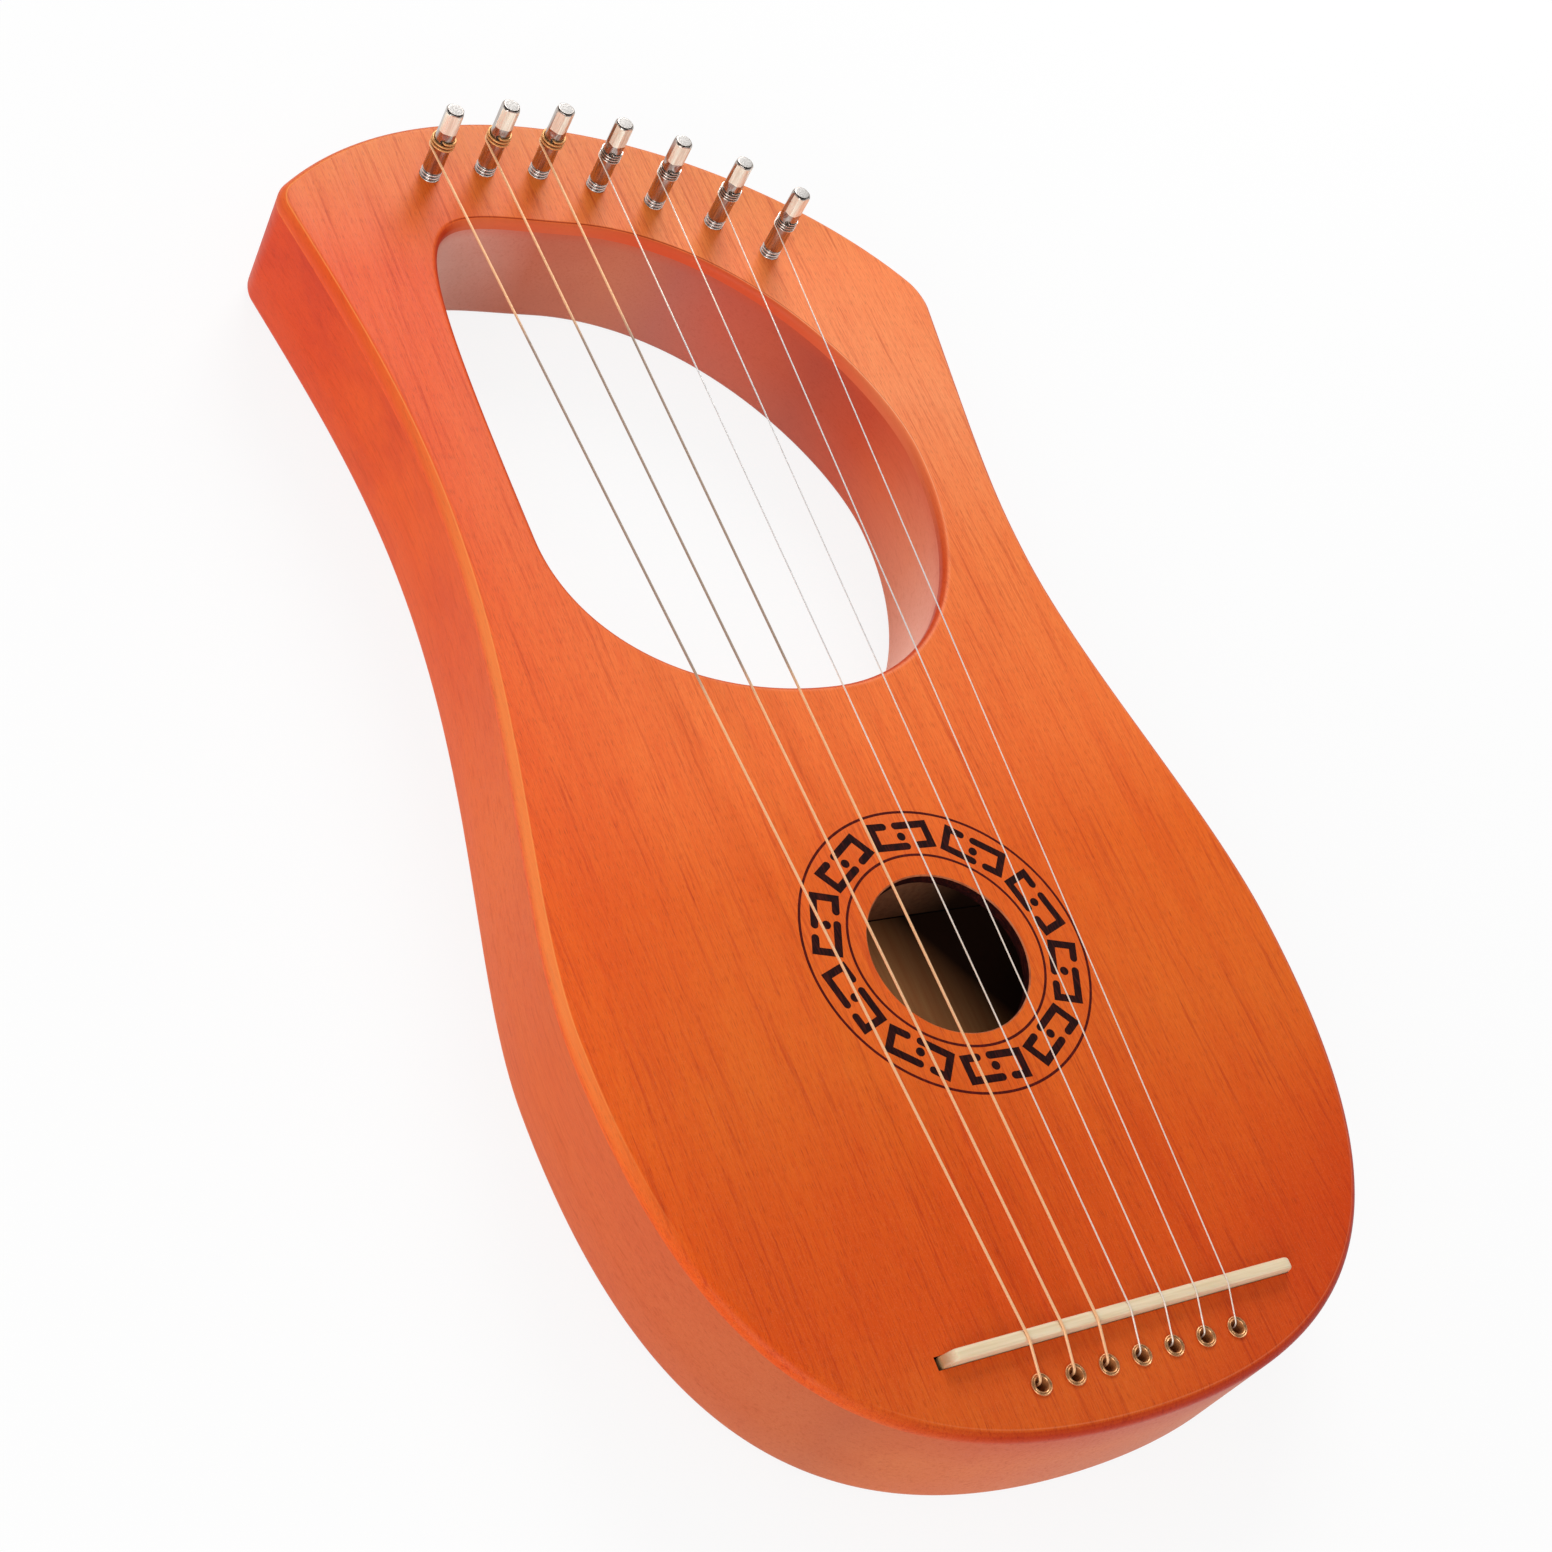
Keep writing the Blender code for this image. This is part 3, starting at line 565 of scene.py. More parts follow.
def openingOutline():
    slope = Vector((math.cos(math.radians(4.8)), -math.sin(math.radians(4.8))))
    bottom = Vector((0.0022, 0.0721))
    right = Vector((body["middleX"] + body["rightWaist"][0] - body["rightArm"], 0.1401))
    left = Vector((body["middleX"] - body["leftWaist"][0] + body["leftArm"], 0.1199))
    top = Vector((-0.0114, crestY(-0.0114) - body["yoke"]))
    curves = (
        (bottom, bottom + Vector((0.0364, 0)), right - Vector((0, 0.0341)), right),
        (right, right + Vector((0, 0.0252)), top + slope * 0.0463, top),
        (top, top - slope * 0.0424, left + Vector((0, 0.1108)), left),
        (left, left - Vector((0, 0.0274)), bottom - Vector((0.0371, 0)), bottom),
    )
    return [point for curve in curves for point in pointsOn(curve, 56)]


def keptAbove(loop, y, sign):
    kept = []
    for here, after in zip(loop, loop[1:] + loop[:1]):
        hereOver, afterOver = (here.y - y) * sign, (after.y - y) * sign
        if hereOver >= 0:
            kept.append(here)
        if hereOver * afterOver < 0:
            kept.append(here.lerp(after, hereOver / (hereOver - afterOver)))
    return kept


def chamberOutline():
    sideTop = body["chamberTop"] - body["chamberRise"]
    loop = keptAbove(movedInward(bodyOutline(), body["rim"]), body["tailLand"] - body["tail"], 1)
    loop = keptAbove(loop, sideTop, -1)
    lastRight = max(range(len(loop)), key=lambda place: (loop[place].y, loop[place].x))
    right, left = loop[lastRight], loop[(lastRight + 1) % len(loop)]
    arch = []
    for step in range(1, 40):
        share = step / 40
        rise = body["chamberRise"] * 4 * share * (1 - share)
        arch.append(right.lerp(left, share) + Vector((0, rise)))
    return loop[: lastRight + 1] + arch + loop[lastRight + 1:]


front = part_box("soundboard")[1][2]
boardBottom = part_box("soundboard")[0][2]
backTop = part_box("back_plate")[1][2]


saddle = {
    "left": -45.2 * mm,
    "right": 47.0 * mm,
    "fromEyelets": 9.7 * mm,
    "thickness": 2.6 * mm,
    "height": 3.4 * mm,
    "slotPlay": 0.15 * mm,
    "slotSpare": 1.2 * mm,
    "leftEnd": 0.6 * mm,
    "leftSlope": 2.5 * mm,
    "rightEnd": 1.6 * mm,
    "rightRound": 2.8 * mm,
    "edgeRound": 0.75 * mm,
    "notch": 0.12 * mm,
}


def pinCentre(number):
    x, drop = (
        (-0.0454, 0.0171),
        (-0.0293, 0.0173),
        (-0.0142, 0.0179),
        (0.0010, 0.0204),
        (0.0160, 0.0224),
        (0.0314, 0.0237),
        (0.0442, 0.0278),
    )[number]
    return Vector((x, crestY(x) - drop))


outline = bodyOutline()
pinLow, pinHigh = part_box("tuning_pin_1")
pinMiddle = Vector((pinLow[0] + pinHigh[0], pinLow[1] + pinHigh[1])) / 2
frameShift = pinMiddle - pinCentre(0)  # from the rosette's centre to the frame's origin


def eyeletCentre(number):
    return Vector((0.0011 + (number - 3) * 8.735 * mm, 12.4 * mm - body["tail"]))


# The finishes
faceWood = stainedMahogany("mahogany, face", stainAndPaintedLight["face"], 1.0, outerEdgePaintedLight)
openingEdgeWood = stainedMahogany("mahogany, edge of the opening", stainAndPaintedLight["face"], 0.8, openingEdgePaintedLight)
sideWood = stainedMahogany("mahogany, sides", stainAndPaintedLight["sides"], 0.6, outerEdgePaintedLight)
openingWood = stainedMahogany("mahogany, inside the opening", stainAndPaintedLight["opening"], 0.35)
# painted shade: the back's inside darkens toward the upper right
backInside = bareWood(
    "bare wood, inside of the back", "#ffb676", "#f29c60", ("#3c261a", (0.85, 0.53, 0), -0.028, -0.010)
)
# painted shade: the chamber's rim darkens toward +x
chamberWood = bareWood(
    "bare wood, rim and top of the chamber", "#c08662", "#a87050", ("#3e281c", (1, 0, 0), 0.003, 0.03), True
)
charWood = charredWood("laser-charred wood", "#4a1710", "#22090a")
ringChar = charredWood("burned line", "#6e1a12", "#4a0f0b")
cutEdge = bareWood("cut edge of the sound hole", "#c8744c", "#a05030")
boneFinish = polishedBone("polished bone")
# nickel: the brown-grey streaks along the pins are painted reflection of the board and its shade
nickelFinish = metal("nickel-plated steel", "#bfb7b1", "#8a7468", 0.26, 0.5 * mm, 10, "Z", 0.7)
# painted light: the lighter cream nickel for flats that face the lit side, streaked with painted reflection
litFlatsFinish = metal("nickel over milled flats, painted lit side", "#fffae8", "#dccbb4", 0.3, 0.6 * mm, 14, "Z", 0.6, 0.35)
# painted highlight: a lighter nickel for the thread crests
threadCrestHighlight = metal("nickel over rolled thread, painted highlight on the crests", "#fbf7f2", "#d8cec4", 0.3, 0.8 * mm, 1, metallic=0.6)
sawnFinish = metal("nickel over the sawn end", "#b8b4b0", "#9c9894", 0.5, 0.4 * mm, 1, metallic=0.4)
brassFinish = metal("stamped brass", "#f2bc88", "#cc9060", 0.44, 0.6 * mm, 2)
# rougher brass with painted shade, darker, for inside the bore
boreShadeFinish = metal("brass, dull and with painted shade inside the bore", "#c07c46", "#8a5028", 0.6, 0.5 * mm, 2, metallic=0.25)
# steel wire, greyer along the hand opening as painted reflection
steelFinish = metal(
    "drawn steel wire", "#fff2e4", "#f4e0cc", 0.3, 1.5 * mm, 20, metallic=0.3, openingReflection=("#e0e4e6", 0.8)
)
coiledSteel = metal("drawn steel wire, coiled", "#f4ece4", "#b8aca0", 0.24, 0.8 * mm, 4)
bronzeFinish = wrappedBronze("bronze-wrapped string", "#ffca98", "#f0ac70", 0.25)
coiledBronze = wrappedBronze("bronze-wrapped string, coiled", "#f4b878", "#c88848", 0.7, True)
print("materials made")


# Pieces are made of rings of points, joined by faces

def addPiece(name, mesh, material, replaced=(), rider="body"):
    piece = bpy.data.objects.new(name, mesh)
    if not mesh.materials:
        mesh.materials.append(material)
    bpy.context.scene.collection.objects.link(piece)
    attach(piece, rider)
    if replaced:
        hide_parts(*replaced)
    return piece


def meshFrom(bm, name, sharpAngle=40):
    bmesh.ops.recalc_face_normals(bm, faces=bm.faces)
    mesh = bpy.data.meshes.new(name)
    bm.to_mesh(mesh)
    bm.free()
    mesh.shade_smooth()
    mesh.set_sharp_from_angle(angle=math.radians(sharpAngle))
    return mesh


def ringEdges(bm, verts):
    return [bm.edges.get((vert, verts[(place + 1) % len(verts)])) for place, vert in enumerate(verts)]


def joinRings(bm, rings, materialIndex=0, closed=False):
    pairs = list(zip(rings, rings[1:]))
    if closed:
        pairs.append((rings[-1], rings[0]))
    for step, (lower, upper) in enumerate(pairs):
        for place, vert in enumerate(lower):
            after = (place + 1) % len(lower)
            face = bm.faces.new((vert, lower[after], upper[after], upper[place]))
            face.material_index = materialIndex if isinstance(materialIndex, int) else materialIndex[step]


def inFrame(loop, height):
    return [Vector((point.x + frameShift.x, point.y + frameShift.y, height)) for point in loop]


def straightWall(loop, low, high):
    return [inFrame(loop, low), inFrame(loop, high)]


def roundedWall(loop, low, high, radius, steps=9):
    wall = [inFrame(loop, low)]
    for step in range(steps + 1):
        turn = math.pi / 2 * step / steps
        inset = radius * (1 - math.cos(turn))
        wall.append(inFrame(movedInward(loop, inset), high - radius + radius * math.sin(turn)))
    wall.append(inFrame(movedInward(loop, radius + 0.15 * mm), high))
    return wall


def mirroredWall(wall, low, high):
    return [[Vector((point.x, point.y, low + high - point.z)) for point in ring] for ring in wall][::-1]


def board(name, walls, capMaterials, materials):
    bm = bmesh.new()
    backs, fronts = [], []
    for wall, materialIndex in walls:
        rings = [[bm.verts.new(point) for point in points] for points in wall]
        joinRings(bm, rings, materialIndex)
        backs += ringEdges(bm, rings[0])
        fronts += ringEdges(bm, rings[-1])
    for edges, normal, materialIndex in ((backs, -1, capMaterials[0]), (fronts, 1, capMaterials[1])):
        made = bmesh.ops.triangle_fill(bm, edges=edges, use_beauty=True, normal=(0, 0, normal))
        for part in made["geom"]:
            if isinstance(part, bmesh.types.BMFace):
                part.material_index = materialIndex
    mesh = meshFrom(bm, name)
    for material in materials:
        mesh.materials.append(material)
    return mesh


def stringLine(number):
    start, post = eyeletCentre(number), pinCentre(number)
    reach = (post - start).length
    swing = math.asin(windingReach(number) / reach)
    along = Matrix.Rotation(swing, 2) @ (post - start).normalized()
    run = math.sqrt(reach**2 - windingReach(number) ** 2)
    return start, post, along, run


def saddleY():
    return eyeletCentre(0).y + saddle["fromEyelets"]


def saddleSlot():
    y, half = saddleY(), saddle["thickness"] / 2 + saddle["slotPlay"]
    left, right = saddle["left"] - saddle["slotSpare"], saddle["right"] + saddle["slotPlay"]
    corners = ((left, y - half), (right, y - half), (right, y + half), (left, y + half))
    return [Vector(corner) for corner in corners]


pinHole, eyeletHole = 2.68 * mm, 2.1 * mm
reversedOpening = openingOutline()[::-1]
soundHole = circle(body["holeCentre"], body["hole"], 160)
widerHole = circle(body["holeCentre"], body["hole"] + body["holeChamfer"], 160)
holeWall = straightWall(soundHole, boardBottom, front - body["holeChamfer"]) + [inFrame(widerHole, front)]

frontWalls = [
    (roundedWall(outline, boardBottom, front, body["edgeRound"]), 0),
    (roundedWall(reversedOpening, boardBottom, front, body["openingRound"]), 3),
    (holeWall, (1, 4)),
    (straightWall(saddleSlot(), boardBottom, front), 1),
]
for number in range(stringCount):
    frontWalls.append((straightWall(circle(pinCentre(number), pinHole, 40), boardBottom, front), 1))
    frontWalls.append((straightWall(circle(eyeletCentre(number), eyeletHole, 32), boardBottom, front), 1))
addPiece(
    "frontBoard",
    board("frontBoard", frontWalls, (2, 0), (faceWood, charWood, chamberWood, openingEdgeWood, cutEdge)),
    faceWood,
    ["soundboard"],
)

coreWalls = [
    (straightWall(outline, backTop, boardBottom), 0),
    (straightWall(reversedOpening, backTop, boardBottom), 2),
    (straightWall(chamberOutline(), backTop, boardBottom), 1),
]
for number in range(stringCount):
    coreWalls.append((straightWall(circle(eyeletCentre(number), 1.6 * mm, 24), backTop, boardBottom), 1))
addPiece(
    "rimAndArms",
    board("rimAndArms", coreWalls, (1, 1), (sideWood, chamberWood, openingWood)),
    sideWood,
    ["body_core"],
)

backWalls = [
    (mirroredWall(roundedWall(outline, 0, backTop, body["edgeRound"]), 0, backTop), 0),
    (mirroredWall(roundedWall(reversedOpening, 0, backTop, body["openingRound"]), 0, backTop), 2),
]
for number in range(stringCount):
    backWalls.append((straightWall(circle(eyeletCentre(number), 2.6 * mm, 32), 0, backTop), 1))
addPiece(
    "backBoard",
    board("backBoard", backWalls, (0, 1), (sideWood, backInside, openingWood)),
    sideWood,
    ["back_plate"],
)
print("body made")


# Rosette: two thin rings and ten pairs of brackets round a dot, burned into the face
rosette = {
    "outerRing": 35.9 * mm,
    "innerRing": 24.45 * mm,
    "ringWidth": 0.62 * mm,
    "repeats": 10,
    "firstDot": math.radians(15.1),
    "dotFromCentre": 29.4 * mm,
    "dot": 1.08 * mm,
    "stroke": 0.92 * mm,
    "left": ((-3.9, 32.3), (-7.2, 32.3), (-6.8, 26.8), (0.6, 26.8)),
    "right": ((-0.6, 32.3), (7.0, 32.3), (7.3, 26.9), (3.9, 26.9)),
    "proud": 0.03 * mm,
    "sunk": 0.2 * mm,
}


def strokeOutline(points, half):
    left, right = [], []
    count = len(points)
    for place, here in enumerate(points):
        before = points[max(place - 1, 0)]
        after = points[min(place + 1, count - 1)]
        if place in (0, count - 1):
            along = (after - before).normalized()
            side = Vector((-along.y, along.x)) * half
        else:
            first, second = (here - before).normalized(), (after - here).normalized()
            across = (Vector((-first.y, first.x)) + Vector((-second.y, second.x))).normalized()
            side = across * half / max(across.dot(Vector((-first.y, first.x))), 0.3)
        left.append(here + side)
        right.append(here - side)

    def cap(centre, start):
        reach = start - centre
        return [centre + Matrix.Rotation(-math.pi * step / 8, 2) @ reach for step in range(1, 8)]

    return left + cap(points[-1], left[-1]) + right[::-1] + cap(points[0], right[0])


def burnedShape(bm, loop):
    low, high = inFrame(loop, front - rosette["sunk"]), inFrame(loop, front + rosette["proud"])
    rings = [[bm.verts.new(point) for point in points] for points in (low, high)]
    joinRings(bm, rings)
    bm.faces.new(rings[0])
    bm.faces.new(rings[1])


def burnedRing(bm, radius, half):
    loops = []
    for reach, height in (
        (radius - half, -rosette["sunk"]),
        (radius + half, -rosette["sunk"]),
        (radius + half, rosette["proud"]),
        (radius - half, rosette["proud"]),
    ):
        points = inFrame(circle(Vector((0, 0)), reach, 200), front + height)
        loops.append([bm.verts.new(point) for point in points])
    joinRings(bm, loops, closed=True)


bm = bmesh.new()
for radius in (rosette["outerRing"], rosette["innerRing"]):
    burnedRing(bm, radius, rosette["ringWidth"] / 2)
addPiece("burnedRings", meshFrom(bm, "burnedRings"), ringChar)

bm = bmesh.new()
for repeat in range(rosette["repeats"]):
    facing = rosette["firstDot"] + repeat * 2 * math.pi / rosette["repeats"] - math.pi / 2
    turnedBy = Matrix.Rotation(facing, 2)
    burnedShape(bm, circle(turnedBy @ Vector((0, rosette["dotFromCentre"])), rosette["dot"], 24))
    for side in ("left", "right"):
        bends = [turnedBy @ (Vector(point) * mm) for point in rosette[side]]
        burnedShape(bm, strokeOutline(bends, rosette["stroke"]))
bmesh.ops.triangulate(bm, faces=[face for face in bm.faces if len(face.verts) > 4])
addPiece("burnedBrackets", meshFrom(bm, "burnedBrackets"), charWood)
print("rosette made")


# Saddle: a bone strip standing in its slot, slanted at the left end, rounded at the right, with a notch
# worn under each string

def saddleTop(x):
    full = saddle["height"]
    share = min(1, (x - saddle["left"]) / saddle["leftSlope"])
    height = saddle["leftEnd"] + (full - saddle["leftEnd"]) * math.sin(math.pi / 2 * share) ** 1.3
    share = min(1, (saddle["right"] - x) / saddle["rightRound"])
    rounded = saddle["rightEnd"] + (full - saddle["rightEnd"]) * math.sqrt(max(0, 1 - (1 - share) ** 2))
    height = min(height, rounded)
    for number in range(stringCount):
        start, post, along, run = stringLine(number)
        crossing = start.x + along.x * (saddleY() - start.y) / along.y
        width = stringRadius(number) * 1.4
        if abs(x - crossing) < width:
            height -= saddle["notch"] * math.sqrt(1 - ((x - crossing) / width) ** 2)
    return height


def saddlePlaces():
    places = {saddle["left"] + step * 0.25 * mm for step in range(11)}
    places |= {saddle["right"] - step * 0.25 * mm for step in range(12)}
    places |= {saddle["left"] + step * mm for step in range(3, 90)}
    for number in range(stringCount):
        start, post, along, run = stringLine(number)
        crossing = start.x + along.x * (saddleY() - start.y) / along.y
        places |= {crossing + step * 0.11 * mm for step in range(-5, 6)}
    return sorted(places)


def makeSaddle():
    bottom, half, bend = boardBottom + 0.2 * mm, saddle["thickness"] / 2, saddle["edgeRound"]
    bm = bmesh.new()
    rings = []
    for x in saddlePlaces():
        top = front + saddleTop(x)
        section = [(-half, bottom), (half, bottom)]
        for sign in (1, -1):
            arc = []
            for step in range(6):
                turn = math.pi / 2 * step / 5
                y = half - bend + bend * math.cos(turn)
                arc.append((sign * y, top - bend + bend * math.sin(turn)))
            section += arc if sign > 0 else arc[::-1]
        y = saddleY() + frameShift.y
        rings.append([bm.verts.new((x + frameShift.x, y + across, z)) for across, z in section])
    joinRings(bm, rings)
    bm.faces.new(rings[0])
    bm.faces.new(rings[-1])
    addPiece("boneSaddle", meshFrom(bm, "boneSaddle", 50), boneFinish, ["saddle"])


# Turned pieces: eyelets and the strings' ball ends

def turnedMesh(name, profile, sides, centre, closed=False, axis="Z", materialIndex=0):
    bm = bmesh.new()
    rings = []
    for radius, height in profile:
        points = circle(Vector((0, 0)), radius, sides)
        rings.append([bm.verts.new((point.x, point.y, height)) for point in points])
    joinRings(bm, rings, materialIndex, closed)
    if not closed:
        bm.faces.new(rings[0])
        bm.faces.new(rings[-1])
    if axis == "X":
        bmesh.ops.rotate(bm, matrix=Matrix.Rotation(math.pi / 2, 3, "Y"), verts=bm.verts)
    bmesh.ops.translate(bm, vec=centre, verts=bm.verts)
    return meshFrom(bm, name)


eyelet = {
    "rim": (
        (1.40, -4.9), (1.95, -4.9), (1.95, 0.02), (2.36, 0.02), (2.44, 0.12), (2.43, 0.27), (2.34, 0.40),
        (2.22, 0.45), (2.12, 0.40), (2.06, 0.31), (2.00, 0.30), (1.94, 0.36), (1.86, 0.46), (1.76, 0.50),
        (1.66, 0.45), (1.58, 0.32), (1.51, 0.10), (1.45, -0.3), (1.40, -1.0),
    ),
    "boreFrom": 15,
    "sides": 40,
}
ballEnd = {
    "profile": (
        (1.7, -1.6), (1.95, -1.5), (2.0, -1.3), (2.0, -0.8), (1.8, -0.6), (1.35, -0.25), (1.3, 0.0),
        (1.35, 0.25), (1.8, 0.6), (2.0, 0.8), (2.0, 1.3), (1.95, 1.5), (1.7, 1.6),
    ),
    "sides": 32,
}
for number in range(stringCount):
    centre = eyeletCentre(number) + frameShift
    profile = [(radius * mm, height * mm) for radius, height in eyelet["rim"]]
    name = f"brassEyelet{number + 1}"
    # painted shade: the inner bore gets the darker brass
    bore = [int(step >= eyelet["boreFrom"]) for step in range(len(profile))]
    place = (centre.x, centre.y, front)
    mesh = turnedMesh(name, profile, eyelet["sides"], place, closed=True, materialIndex=bore)
    mesh.materials.append(brassFinish)
    mesh.materials.append(boreShadeFinish)
    addPiece(name, mesh, brassFinish, [f"eyelet_{number + 1}"])
    low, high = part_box(f"ball_end_{number + 1}")
    middle = (Vector(low) + Vector(high)) / 2
    profile = [(radius * mm, height * mm) for radius, height in ballEnd["profile"]]
    name = f"ballEnd{number + 1}"
    mesh = turnedMesh(name, profile, ballEnd["sides"], middle, axis="X")
    addPiece(name, mesh, brassFinish, [f"ball_end_{number + 1}"])
print("saddle, eyelets and ball ends made")


# Tuning pins: a threaded foot, a round barrel, a cross hole and four milled flats at the head
pin = {
    "radius": 2.5 * mm,
    "above": 22 * mm,
    "below": 19 * mm,
    "head": 8.1 * mm,
    "flats": 4.4 * mm,
    "scallop": 2.0 * mm,
    "tip": 0.4 * mm,
    "crown": 0.9 * mm,
    "threadTop": 2.7 * mm,
    "threadPitch": 0.95 * mm,
    "threadCrest": 2.64 * mm,
    "threadRoot": 2.28 * mm,
    "hole": 0.8 * mm,
    "holeHeight": 13.0 * mm,
    "headTurns": (66, 74, 40, 12, 84, 39, 20),
    # painted lit side: flats facing this way get the lighter nickel
    "paintedLitSide": Vector((0.62, -0.78, 0)),
}


def pinTurns():
    edge = math.acos(pin["flats"] / 2 / pin["radius"])
    turns = []
    for quarter in range(4):
        middle = quarter * math.pi / 2
        turns += [middle - edge + 2 * edge * step / 8 for step in range(8)]
        turns += [middle + edge + (math.pi / 2 - 2 * edge) * step / 4 for step in range(4)]
    return turns


def pinReach(turn, height):
    half, head, reach = pin["flats"] / 2, pin["above"] - pin["head"], pin["radius"]
    if height < pin["threadTop"]:
        fade = min(1, (pin["threadTop"] - height) / (0.4 * mm))
        wave = math.cos(2 * math.pi * height / pin["threadPitch"] - turn)
        middle, depth = (pin["threadCrest"] + pin["threadRoot"]) / 2, (pin["threadCrest"] - pin["threadRoot"]) / 2
        reach += fade * (middle - depth * wave - reach)
    if height > head:
        share = min(1, (height - head) / pin["scallop"])
        flat = pin["radius"] - (pin["radius"] - half) * share * (2 - share)
        reach = min(reach, flat / max(abs(math.cos(turn)), abs(math.sin(turn))))
        share = max(0, 1 - (pin["above"] - height) / pin["crown"])
        reach = min(reach, pin["radius"] - (pin["radius"] - half) * share * share)
    return reach


def pinHeights():
    head = pin["above"] - pin["head"]
    heights = [-pin["below"], -pin["below"] + pin["tip"], -2 * mm]
    heights += [-1.5 * mm + step * 0.07 * mm for step in range(61)]
    heights += [4 * mm, 7 * mm, 10 * mm, 12 * mm, pin["holeHeight"]]
    heights += [head + step * 0.2 * mm for step in range(11)]
    heights += [pin["above"] - drop * mm for drop in (4, 0.9, 0.75, 0.6, 0.5)]
    return heights


def makePin(number):
    bm = bmesh.new()
    turns = pinTurns()
    rings = []

    def addRing(height, inset):
        reaches = [pinReach(turn, height) - inset for turn in turns]
        points = [(math.cos(turn) * reach, math.sin(turn) * reach, height) for turn, reach in zip(turns, reaches)]
        rings.append([bm.verts.new(point) for point in points])

    for height in pinHeights():
        addRing(height, pin["tip"] if height == -pin["below"] else 0)
    for step in range(1, 5):
        turn = math.pi / 2 * step / 4
        addRing(pin["above"] - pin["tip"] * (1 - math.sin(turn)), pin["tip"] * (1 - math.cos(turn)))
    joinRings(bm, rings)
    bm.faces.new(rings[0])
    bm.faces.new(rings[-1]).material_index = 2
    milledFrom = pin["above"] - pin["head"] + pin["scallop"] * 0.8
    turned = Matrix.Rotation(math.radians(pin["headTurns"][number]), 4, "Z")
    for face in bm.faces:
        middle = face.calc_center_median()
        flat = max(abs(middle.x), abs(middle.y)) < pin["flats"] / 2 + 0.02 * mm
        outward = Vector((middle.x, middle.y, 0)).normalized()
        # painted light: flats facing the lit side get the lighter cream nickel, the others stay plain nickel
        paintedLit = (turned @ outward).dot(pin["paintedLitSide"]) > -0.5
        if flat and paintedLit and milledFrom < middle.z < pin["above"] - pin["tip"]:
            face.material_index = 1
        # painted highlight: thread crests get a lighter nickel than the grooves
        if middle.z < pin["threadTop"] and middle.xy.length > pin["threadCrest"] - 0.12 * mm:
            face.material_index = 3
    name = f"nickelPin{number + 1}"
    mesh = meshFrom(bm, name, 28)
    mesh.materials.append(nickelFinish)
    mesh.materials.append(litFlatsFinish)
    mesh.materials.append(sawnFinish)
    mesh.materials.append(threadCrestHighlight)
    centre = pinCentre(number) + frameShift
    mesh.transform(Matrix.Translation((centre.x, centre.y, front)) @ turned)
    piece = addPiece(name, mesh, nickelFinish, [f"tuning_pin_{number + 1}"], f"pin_{number + 1}")
    drillHole(piece, centre, stringEntry(number))


def drillHole(piece, centre, turn):
    bm = bmesh.new()
    bmesh.ops.create_cone(
        bm,
        cap_ends=True,
        segments=24,
        radius1=pin["hole"],
        radius2=pin["hole"],
        depth=8 * mm,
        matrix=Matrix.Translation((centre.x, centre.y, front + pin["holeHeight"]))
        @ Matrix.Rotation(turn, 4, "Z")
        @ Matrix.Rotation(math.pi / 2, 4, "Y"),
    )
    mesh = bpy.data.meshes.new("drill")
    bm.to_mesh(mesh)
    bm.free()
    drill = bpy.data.objects.new("drill", mesh)
    bpy.context.scene.collection.objects.link(drill)
    cut = piece.modifiers.new("string hole", "BOOLEAN")
    cut.object = drill
    cut.solver = "EXACT"
    cutMesh = bpy.data.meshes.new_from_object(piece.evaluated_get(bpy.context.evaluated_depsgraph_get()))
    piece.modifiers.clear()
    piece.data = cutMesh
    cutMesh.set_sharp_from_angle(angle=math.radians(28))
    bpy.data.objects.remove(drill)


# Strings: held at the ball end, over the eyelet's rim and the saddle, then round the pin
strings = {
    "radius": (0.315, 0.315, 0.315, 0.19, 0.18, 0.17, 0.16),
    "turns": (2.33, 2.33, 2.33, 3.33, 3.33, 3.33, 3.33),
    "turnSpacing": (1.07, 1.07, 1.07, 0.82, 0.82, 0.82, 0.82),
    "touch": 0.01 * mm,
    "boreEntry": 0.45 * mm,
    "rimBend": 1.5 * mm,
    "saddleBend": 4 * mm,
}


def stringRadius(number):
    return strings["radius"][number] * mm


def stringEntry(number):
    return -strings["turns"][number] * 2 * math.pi


def windingStart(number):
    turned = strings["turns"][number] * strings["turnSpacing"][number] * mm
    return pin["holeHeight"] - turned


def stringTop(number):
    return windingStart(number) - 2 * stringRadius(number) - strings["touch"]


def windingReach(number):
    return pin["radius"] + stringRadius(number) + strings["touch"]


def tubeAlong(name, points, radius, sidesStep):
    data = bpy.data.curves.new(name, "CURVE")
    data.dimensions = "3D"
    data.bevel_depth = radius
    data.bevel_resolution = sidesStep
    data.use_fill_caps = True
    spline = data.splines.new("POLY")
    spline.points.add(len(points) - 1)
    for spot, point in zip(spline.points, points):
        spot.co = (*point, 1)
    return data


